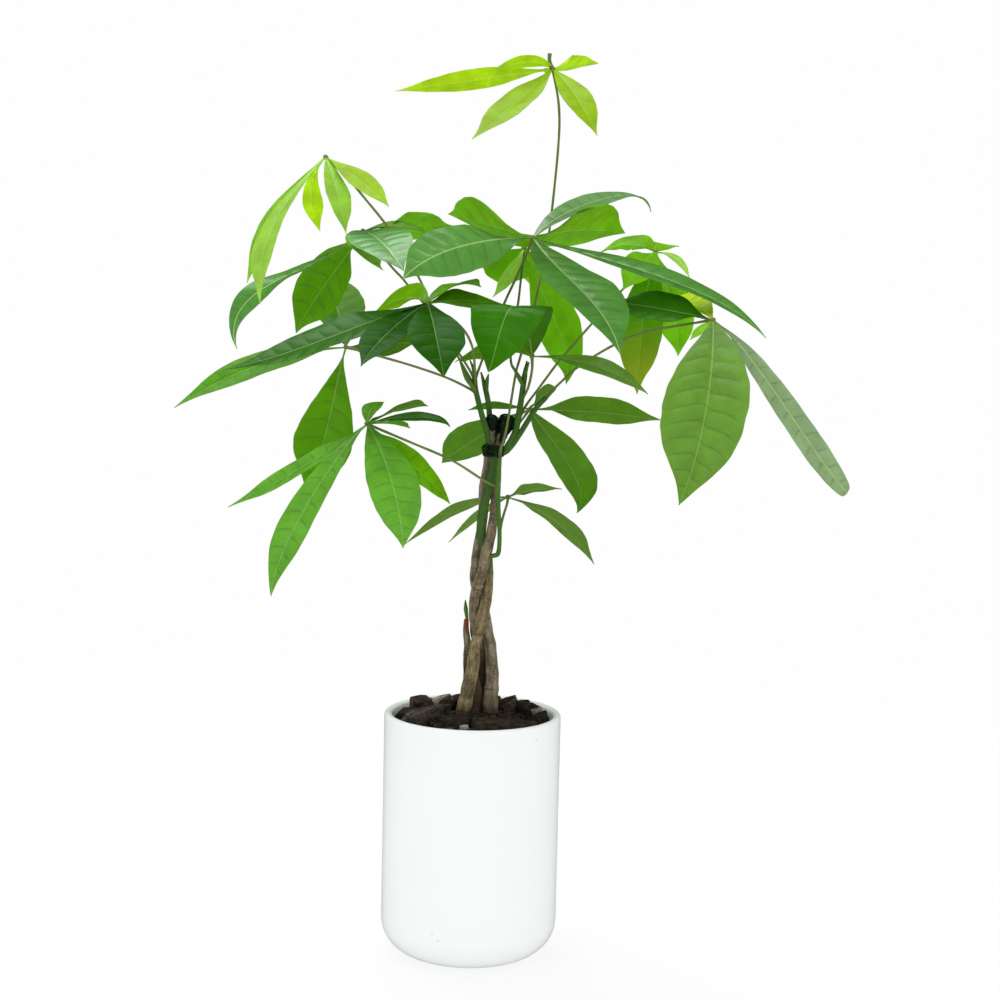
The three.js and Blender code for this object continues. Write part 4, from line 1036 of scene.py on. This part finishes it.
def soil_shell(dice):
    """The fine soil between the chips: the mound, made uneven by sines that cross at many scales,
    and closed by a wall and a level underside."""
    reach = POT_RADIUS - POT_WALL - SEAT_GAP
    radius = np.linspace(SOIL_CENTRE, reach, SOIL_RINGS)[::-1, None]
    around = angles_round(SOIL_SIDES)
    x, y = radius * np.cos(around), radius * np.sin(around)
    uneven = 0
    for wave in SOIL_WAVES:
        angles, phases = dice.uniform(0, np.pi, 2), dice.uniform(0, 2 * np.pi, 2)
        first, second = (
            np.sin(2 * np.pi * (x * np.cos(angle) + y * np.sin(angle)) / wave + phase)
            for angle, phase in zip(angles, phases))
        uneven = uneven + (wave / SOIL_WAVES[0]) ** SOIL_WAVE_POWER * first * second
    top = np.stack([x, y, soil_top(radius) + SOIL_ROUGHNESS * uneven - SOIL_BELOW], axis=-1)
    foot = top[0].copy()
    foot[:, 2] = SOIL_AT_WALL - SOIL_DEPTH
    middle = foot * [SOIL_INNER_RING, SOIL_INNER_RING, 1]
    grid = np.concatenate([middle[None], foot[None], top])
    grain = {f"grain_{axis}": grid[..., k] for k, axis in enumerate("xyz")}
    return ringed(grid, {"warm": SOIL_WARMTH, "pale": 0.0, **grain})


# Large bark chips: centre x and y, length, width, height, turn in degrees and lift above the soil,
# as the solids have them, then how warm the colour is and how pale
CHIPS = [
    (-33, -12, 50, 13, 11, 56, 2.0, 0.35, 0.12),
    (-39, 13, 18, 15, 12, 10, 4.5, 0.9, 0.0),
    (-25, 23, 20, 9, 9, 50, 4.5, 0.2, 0.9),
    (-18, 10, 12, 11, 9, 40, 3.5, 0.1, 0.0),
    (-11, -35, 22, 14, 10, -5, 1.0, 0.2, 0.0),
    (25, -34, 48, 19, 10, 8, 0.5, 0.4, 0.0),
    (27, 11, 16, 11, 14, 70, 4.5, 0.85, 0.0),
    (42, 8, 13, 14, 11, 30, 4.0, 0.15, 0.0),
    (50, -10, 9, 20, 9, -20, 2.0, 0.1, 0.0),
    (-48, -8, 10, 14, 10, 60, 1.5, 0.2, 0.0),
    (10, 40, 22, 12, 10, -20, 2.5, 0.4, 0.0),
    (36, 36, 18, 12, 10, -45, 1.5, 0.3, 0.0),
    (-10, 50, 16, 9, 9, 15, 1.5, 0.3, 0.0),
    (-42, -34, 18, 11, 8, -35, 1.0, 0.2, 0.0),
    (-20, -53, 15, 4, 5, 8, 1.5, 0.5, 0.4),
]
# Small bits on the large chips and in the soil, as x, y, height above the soil, length, warmth, paleness
BITS = [(-5, -48, 2.5, 7, 0.9, 0.75), (48, 3, 5.5, 9, 0.6, 0.6), (-31, 21, 6.5, 6, 0.3, 0.9)]
# Crumbs, strewn by the golden angle: their count, the range of their lengths, of their widths and
# heights as shares of the length, and of their lift, how far their middles stay from the pot's wall
# and are moved inwards, the share of them that is pale, and how pale those are
CRUMB_COUNT = 260
CRUMB_LENGTH, CRUMB_WIDTH, CRUMB_HEIGHT = (3, 8.5), (0.5, 0.9), (0.35, 0.6)
CRUMB_LIFT = (-0.5, 1.2)
CRUMB_CLEAR = 4.5
CRUMB_INWARD = 2
CRUMB_PALE, CRUMB_PALENESS = 0.035, 0.8
CRUMB_WARMEST = 0.8
GOLDEN_ANGLE = 2.39996
# A bit's width and height as shares of its length, and the most that each kind tilts, in radians
BIT_WIDTH, BIT_HEIGHT = 0.7, 0.5
CHIP_TILT, BIT_TILT, CRUMB_TILT = 0.1, 0.3, 0.4
# Each kind's rings and the points of a ring
CHIP_GRID, BIT_GRID, CRUMB_GRID = (26, 44), (14, 20), (6, 8)
# A chip's faces: how far along each axis its ends, sides, and top and underside are pressed flat, how
# many further breaks it has, how far out they may lie, how much a face leans at random, and the half
# sizes of the pressed ball, by which it is brought to size
CHIP_ENDS, CHIP_SIDES, CHIP_TOPS = 0.8, 0.6, 0.55
CHIP_BREAKS = 5
CHIP_BREAK_REACH = (0.6, 0.8)
CHIP_FACE_LEAN = 0.12
CHIP_PRESSED = [0.8, 0.62, 0.58]
# A chip's uneven skin, and how close the ball's end rings come to its ends
CHIP_ROUGHNESS = 0.03
CHIP_WAVES, CHIP_TURNS = (0.9, 0.6, 0.4), (3, 6, 8)
CHIP_REACH = 0.97
# How much slower the pattern of the fibres changes along a chip than across it, and within how many
# millimetres of the pattern each chip has its own place
GRAIN_STRETCH = 0.22
GRAIN_SHIFT = 500


def chip_shell(centre, size, turn, tilt, warm, pale, dice, rings):
    """A bark chip: a ball of radius 1 whose points beyond each of several planes are pressed onto the
    plane, so that it has flat broken faces. It is then roughened by sines, sized, tilted and turned."""
    ball, rise, around = ball_grid(CHIP_REACH, *rings)
    axes = np.repeat(np.eye(3), 2, axis=0) * np.tile([1, -1], 3)[:, None]
    normals = unit(np.concatenate([axes, dice.normal(0, 1, (CHIP_BREAKS, 3))])
                   + dice.normal(0, CHIP_FACE_LEAN, (6 + CHIP_BREAKS, 3)))
    reaches = [*np.repeat([CHIP_ENDS, CHIP_SIDES, CHIP_TOPS], 2),
               *dice.uniform(*CHIP_BREAK_REACH, CHIP_BREAKS)]
    for normal, reach in zip(normals, reaches):
        ball = ball - np.clip(ball @ normal - reach, 0, None)[..., None] * normal
    rough = 1 + CHIP_ROUGHNESS * ripple(dice, CHIP_WAVES, CHIP_TURNS, rise, around)
    block = ball * rough[..., None] * np.asarray(size) / 2 / CHIP_PRESSED
    grain = block * [GRAIN_STRETCH, 1, 1] + dice.uniform(0, GRAIN_SHIFT, 3)
    lean = Matrix.Rotation(tilt[1], 3, "Y") @ Matrix.Rotation(tilt[0], 3, "X")
    lean = Matrix.Rotation(turn, 3, "Z") @ lean
    marks = {f"grain_{axis}": grain[..., k] for k, axis in enumerate("xyz")}
    return ringed(block @ np.array(lean).T + centre, {"warm": warm, "pale": pale, **marks})


def chip_shells(dice):
    """The large chips, the bits on them, and crumbs strewn by the golden angle, smaller and flatter."""
    shells = []
    for x, y, length, width, height, turn, lift, warm, pale in CHIPS:
        centre = [x, y, soil_top(math.hypot(x, y)) + lift]
        shells.append(chip_shell(centre, (length, width, height), math.radians(turn),
                                 dice.uniform(-CHIP_TILT, CHIP_TILT, 2), warm, pale, dice, CHIP_GRID))
    for x, y, lift, length, warm, pale in BITS:
        centre = [x, y, soil_top(math.hypot(x, y)) + lift]
        size = (length, length * BIT_WIDTH, length * BIT_HEIGHT)
        shells.append(chip_shell(centre, size, dice.uniform(0, np.pi), dice.uniform(-BIT_TILT, BIT_TILT, 2),
                                 warm, pale, dice, BIT_GRID))
    reach = POT_RADIUS - POT_WALL - CRUMB_CLEAR
    for i in range(CRUMB_COUNT):
        angle = i * GOLDEN_ANGLE
        distance = reach * math.sqrt((i + 0.5) / CRUMB_COUNT) + dice.uniform(-CRUMB_INWARD, 0)
        length = dice.uniform(*CRUMB_LENGTH)
        size = (length, length * dice.uniform(*CRUMB_WIDTH), length * dice.uniform(*CRUMB_HEIGHT))
        centre = [distance * math.cos(angle), distance * math.sin(angle),
                  soil_top(distance) + dice.uniform(*CRUMB_LIFT)]
        turn, tilt = dice.uniform(0, np.pi), dice.uniform(-CRUMB_TILT, CRUMB_TILT, 2)
        warm, pale = dice.uniform(0, CRUMB_WARMEST), CRUMB_PALENESS * (dice.uniform() > 1 - CRUMB_PALE)
        shells.append(chip_shell(centre, size, turn, tilt, warm, pale, dice, CRUMB_GRID))
    return shells


# The tie: the view's rows that it covers and the column of its middle, its wraps, its sections, how
# each wrap sags and overlaps the next, and its knot as two lumps, each with its offset from the knot's
# place and its radii
TIE_ROWS = (456, 445.5)
TIE_COLUMN = 494.3
TIE_WRAPS = 3
TIE_SIDES = 96
TIE_SECTION_SIDES = 12
TIE_THICKNESS = 1.3
TIE_EASE = 0.5
TIE_FULLNESS = 0.9
TIE_PROUD_WRAP, TIE_PROUD = 1, 0.2
TIE_SAG, TIE_SAG_TURN = 0.6, 2.1
TIE_OVERLAP = 0.56
TIE_LUMP = 0.2
TIE_KNOT = [486.5, 449, -1]
TIE_LUMPS = [([-0.6, -1.2, 0.4], (2.6, 2.9, 3.4)), ([-0.2, 0.4, -1.6], (2.4, 2.6, 2.2))]


def stem_circle(name, height):
    """The place and radius of a stem where it passes a height."""
    places, _, _, radius, _ = stem_line(STEMS[name], STEM_STEP)
    nearest = np.argmin(np.abs(places[:, 2] - height))
    return places[nearest, :2], radius[nearest, 0]


def tie_shells(dice):
    """The tie: flat strands wound round the three stems. A strand's path is the stems' taut loop,
    which for each direction is the furthest stem's edge in that direction, and its section is a
    flattened ellipse."""
    low, high = seen([[TIE_COLUMN, row, 0] for row in TIE_ROWS])[:, 2]
    circles = [stem_circle(name, (low + high) / 2) for name in STEMS]
    around = angles_round(TIE_SIDES)[0]
    out = np.stack([np.cos(around), np.sin(around)], axis=1)
    reach = np.array([out @ centre + radius for centre, radius in circles])
    furthest = reach.argmax(axis=0)
    centres = np.array([circles[k][0] for k in furthest])
    radii = np.array([circles[k][1] for k in furthest])[:, None]
    section = angles_round(TIE_SECTION_SIDES)
    # The quads' corners are reversed after the first, so that their faces look out
    quads = woven(TIE_SIDES, TIE_SECTION_SIDES, looped=True)[:, [0, 3, 2, 1]]
    pitch = (high - low) / TIE_WRAPS
    shells = []
    for wrap in range(TIE_WRAPS):
        middle = low + pitch * (wrap + 0.5) + TIE_SAG * np.sin(around + wrap * TIE_SAG_TURN)
        bulge = (TIE_EASE + TIE_THICKNESS / 2 * (1 + TIE_FULLNESS * np.cos(section))
                 + TIE_PROUD * (wrap == TIE_PROUD_WRAP))
        flat = centres[:, None] + out[:, None] * (radii + bulge)[..., None]
        height = middle[:, None] + pitch * TIE_OVERLAP * np.sin(section)
        grid = np.concatenate([flat, height[..., None]], axis=-1)
        shells.append(Shell(grid.reshape(-1, 3), [quads], {}))
    knot = seen([TIE_KNOT])[0]
    shells += [knot_shell(knot + offset, size, dice, lump=TIE_LUMP) for offset, size in TIE_LUMPS]
    return shells


# Wax on the cut stems: how far it runs down, its dome's height, and its radius at the top
WAX = {"right": (15, 3.6, 4.5), "back": (27, 4.4, 6.4)}
WAX_STEP = 0.5
WAX_SIDES = 36
WAX_THICKNESS = 0.6
WAX_SUNK = 0.4
WAX_LUMP = 0.15
WAX_LUMP_WAVES, WAX_LUMP_TURNS = (7, 4), (2, 3)
# The share of its run that the wax covers, how much its drips change that, and the length of their ends
WAX_COVER, WAX_DRIP, WAX_DRIP_END = 0.72, 0.2, 2
WAX_DRIP_WAVES, WAX_DRIP_TURNS = (900, 900, 900), (1, 3, 4)
# The distances from the cut end between which the wax comes down to its usual thickness
WAX_GATHER = (3, 14)
WAX_DOME_STEPS = 10
WAX_DOME_REACH = 0.97
WAX_DOME_LUMP, WAX_DOME_TURNS = 0.06, 3


def wax_shell(points, run, cap, top, dice):
    """Wax on a cut stem: a sleeve that follows the stem's last stretch, widens to the top and closes
    over its end in a low dome. Its lower edge runs down in drips, where it sinks below the bark."""
    places, tangents, distances, radius, _ = stem_line(points, WAX_STEP)
    keep = distances > distances[-1] - run
    radius, places, tangents = radius[keep], places[keep], tangents[keep]
    left = (distances[-1] - distances[keep])[:, None]
    around = angles_round(WAX_SIDES)
    drip = run * (WAX_COVER + WAX_DRIP * ripple(dice, WAX_DRIP_WAVES, WAX_DRIP_TURNS, left, around))
    past_drip = ease(left, drip - WAX_DRIP_END, drip)
    gather = (top - radius - WAX_THICKNESS) * (1 - ease(left, *WAX_GATHER))
    lumps = WAX_LUMP * ripple(dice, WAX_LUMP_WAVES, WAX_LUMP_TURNS, left, around)
    thick = (WAX_THICKNESS + gather + lumps) * (1 - past_drip) - WAX_SUNK * past_drip
    wall = tube_grid(places, tangents, radius + thick, WAX_SIDES)
    bend = np.linspace(0, WAX_DOME_REACH, WAX_DOME_STEPS) * np.pi / 2
    dome_places = places[-1] + tangents[-1] * (np.sin(bend) * cap)[:, None]
    uneven = 1 + WAX_DOME_LUMP * np.sin(WAX_DOME_TURNS * around)
    dome_radius = (radius[-1] + thick[-1:]) * np.cos(bend)[:, None] * uneven
    dome_tangents = np.repeat(tangents[-1:], WAX_DOME_STEPS, axis=0)
    dome = tube_grid(dome_places, dome_tangents, dome_radius, WAX_SIDES)
    return ringed(np.concatenate([wall, dome[1:]]), {})


# Finishes, one for each slot of the record. The tie is a soft plastic tape, which shines a little along
# its folds, and the wax dries to a nearly black skin with a dull shine.
bark = stem_bark()
stalk = green_stalk()
glaze = white_glaze()
chips = bark_chips()
tape = plain_finish("soft_green_tie_tape", ("#030d06", "#0b3616"), 0.38, 2.0, 0.3)
wax = plain_finish("wound_wax", ("#050c09", "#10241a"), 0.3, 3.0, 0.4)
BLADE_FINISH = {
    "young_leaf": leaf_blade("young_leaf_blade", 0.4, 0.45, 0.16, 0.03, 1.0),
    "leaf": leaf_blade("leaf_blade", 0.28, 0.42, 0.13, 0.3, 0.82),
    "dark_leaf": leaf_blade("dark_leaf_blade", 0.12, 0.36, 0.08, 0.14, 0.85),
}
# How far the blade swells between its side veins, in mm
BLADE_QUILT = {"young_leaf": 0.4, "leaf": 0.9, "dark_leaf": 0.8}
# Where each group's random draws start. A stem and a leaf add their place in the order.
SOIL_SEED, TIE_SEED, STEM_SEED, STUB_SEED, LEAF_SEED = 7, 31, 100, 120, 200


def build_leaf(name, plan, seed):
    """One leaf: its leaflets, its stalk and the small knot where they meet."""
    dice = np.random.default_rng(seed)
    shells = []
    for leaflet in plan.leaflets:
        colour, gloss = TONES[leaflet.tone or plan.tone]
        shells.append(leaflet_shell(plan.hub, leaflet, linear(colour)[:3], gloss, BLADE_QUILT[plan.slot],
                                    dice))
    shells.append(stalk_shell([*plan.stalk, plan.hub], STALK_RADIUS, dice))
    hub = seen([plan.hub])[0]
    shells.append(knot_shell(hub, HUB_RADIUS * HUB_SHARE, dice, finish=1))
    if plan.spur:
        shells.append(stalk_shell([point[:3] for point in plan.spur], plan.spur[0][3], dice))
    piece(f"{name}_blades", shells, [BLADE_FINISH[plan.slot], stalk], name)


def build_stems():
    """The braided stems with their side growth, and the cut-back stub with its bud."""
    for number, (name, points) in enumerate(STEMS.items()):
        dice = np.random.default_rng(STEM_SEED + number)
        greening = GREENING.get(name)
        shells = [stem_shell(points, STEM_SIDES, dice, DAMP_AND_SHADE[name], greening, grey=BARK_GREY[name])]
        for bright, branch in BRANCHES[name]:
            damp = DAMP_AND_SHADE[name] if bright else ROOT_DAMP
            shells.append(stem_shell(branch, BRANCH_SIDES, dice, damp, bright=bright))
        piece(f"{name}_bark", shells, [bark], name)
    dice = np.random.default_rng(STUB_SEED)
    shells = [
        stem_shell(STUB, STUB_SIDES, dice, DAMP_AND_SHADE["stub"], grey=BARK_GREY["stub"], red=STUB_RED),
        stem_shell(STUB_BUD, BUD_SIDES, dice, DAMP_AND_SHADE["stub"], bright=BUD_GREEN),
    ]
    piece("stub_bark", shells, [bark], "stub")


def build_pot_and_soil():
    """The glazed pot, the fine soil in it and the bark chips on the soil."""
    wall = turned_shell(pot_profile(), POT_SIDES)
    piece("glazed_pot", [wall], [glaze], "pot", sharp=60)
    dice = np.random.default_rng(SOIL_SEED)
    piece("potting_soil", [soil_shell(dice)], [chips], "soil")
    piece("bark_chips", chip_shells(dice), [chips], "soil", sharp=28)


def build_tie_and_wax():
    """The tie round the stems and the wax on the two cut ends."""
    dice = np.random.default_rng(TIE_SEED)
    piece("wound_tie", tie_shells(dice), [tape], "tie")
    for side, (run, cap, top) in WAX.items():
        shell = wax_shell(STEMS[f"stem_{side}"], run, cap, top, dice)
        piece(f"wax_{side}_drips", [shell], [wax], f"wax_{side}")


def build_camera():
    """The photograph's camera: at the eye, looking ahead and a little down, and rolled."""
    data = bpy.data.cameras.new("front_view")
    data.sensor_width = 36
    data.lens = VIEW_FOCAL / VIEW_WIDTH * data.sensor_width
    data.clip_start, data.clip_end = 0.05, 50
    camera = bpy.data.objects.new("front_view", data)
    bpy.context.scene.collection.objects.link(camera)
    right = Vector((1, 0, 0))
    up = Vector((0, math.sin(EYE_PITCH), math.cos(EYE_PITCH)))
    across = right * math.cos(VIEW_ROLL) + up * math.sin(VIEW_ROLL)
    above = up * math.cos(VIEW_ROLL) - right * math.sin(VIEW_ROLL)
    turn = Matrix((across, above, across.cross(above))).transposed()
    camera.matrix_world = Matrix.Translation(Vector(EYE * MM)) @ turn.to_4x4()
    bpy.context.scene.camera = camera


# The floor, in metres: its radius, the distances between which it fades out, and how clear it is in
# the middle
FLOOR_RADIUS = 1.6
FLOOR_SIDES = 96
FLOOR_FADE = (0.25, 1.3)
FLOOR_CLEAR = 0.75
# Soft boxes: name, place and side length in metres, power in watts, and colour. They face one point.
SOFT_BOXES = [
    ("top_soft_box", (-0.25, 0.35, 1.7), 0.9, 9.8, (1.0, 1.0, 1.0)),
    ("left_soft_box", (-0.9, -1.3, 1.1), 0.9, 3.3, (0.9, 0.98, 1.0)),
    ("right_soft_box", (1.0, -1.2, 0.9), 0.8, 2.2, (1.0, 0.98, 0.95)),
]
LIT_POINT = Vector((0, 0, 0.4))


def build_studio():
    """A plain pale floor that melts into a white surround, and soft boxes above and beside it."""
    world = bpy.data.worlds.new("white_surround")
    world.use_nodes = True
    world.node_tree.nodes["Background"].inputs["Color"].default_value = linear("#fefefe")
    bpy.context.scene.world = world
    world.cycles_visibility.glossy = False
    bpy.context.scene.view_settings.view_transform = "Standard"

    around = angles_round(FLOOR_SIDES)[0]
    rim = np.stack([FLOOR_RADIUS * np.cos(around), FLOOR_RADIUS * np.sin(around), 0 * around], axis=1)
    mesh = bpy.data.meshes.new("floor")
    mesh.from_pydata(rim.tolist(), [], [list(range(len(rim)))])
    floor = bpy.data.objects.new("floor", mesh)
    bpy.context.scene.collection.objects.link(floor)
    material, tree = new_material("pale_floor")
    place = add(tree, "TexCoord").outputs["Object"]
    distance = add(tree, "VectorMath", {0: place}, operation="LENGTH")
    share = add(tree, "MapRange", {"Value": distance, "From Min": FLOOR_FADE[0], "From Max": FLOOR_FADE[1],
                                   "To Min": FLOOR_CLEAR}, interpolation_type="SMOOTHSTEP")
    pale = add(tree, "BsdfPrincipled", {"Base Color": "#f4f4f4", "Roughness": 0.9})
    faded = add(tree, "MixShader", {0: share, 1: pale, 2: add(tree, "BsdfTransparent")})
    add(tree, "OutputMaterial", {"Surface": faded})
    mesh.materials.append(material)

    for name, place, size, power, colour in SOFT_BOXES:
        data = bpy.data.lights.new(name, "AREA")
        data.size, data.energy, data.color = size, power, colour
        lamp = bpy.data.objects.new(name, data)
        lamp.location = place
        lamp.rotation_euler = (LIT_POINT - Vector(place)).to_track_quat("-Z", "Y").to_euler()
        bpy.context.scene.collection.objects.link(lamp)


build_camera()
build_studio()
build_pot_and_soil()
build_stems()
build_tie_and_wax()
for order, (leaf_name, leaf_plan) in enumerate(LEAVES.items()):
    build_leaf(leaf_name, leaf_plan, LEAF_SEED + order)
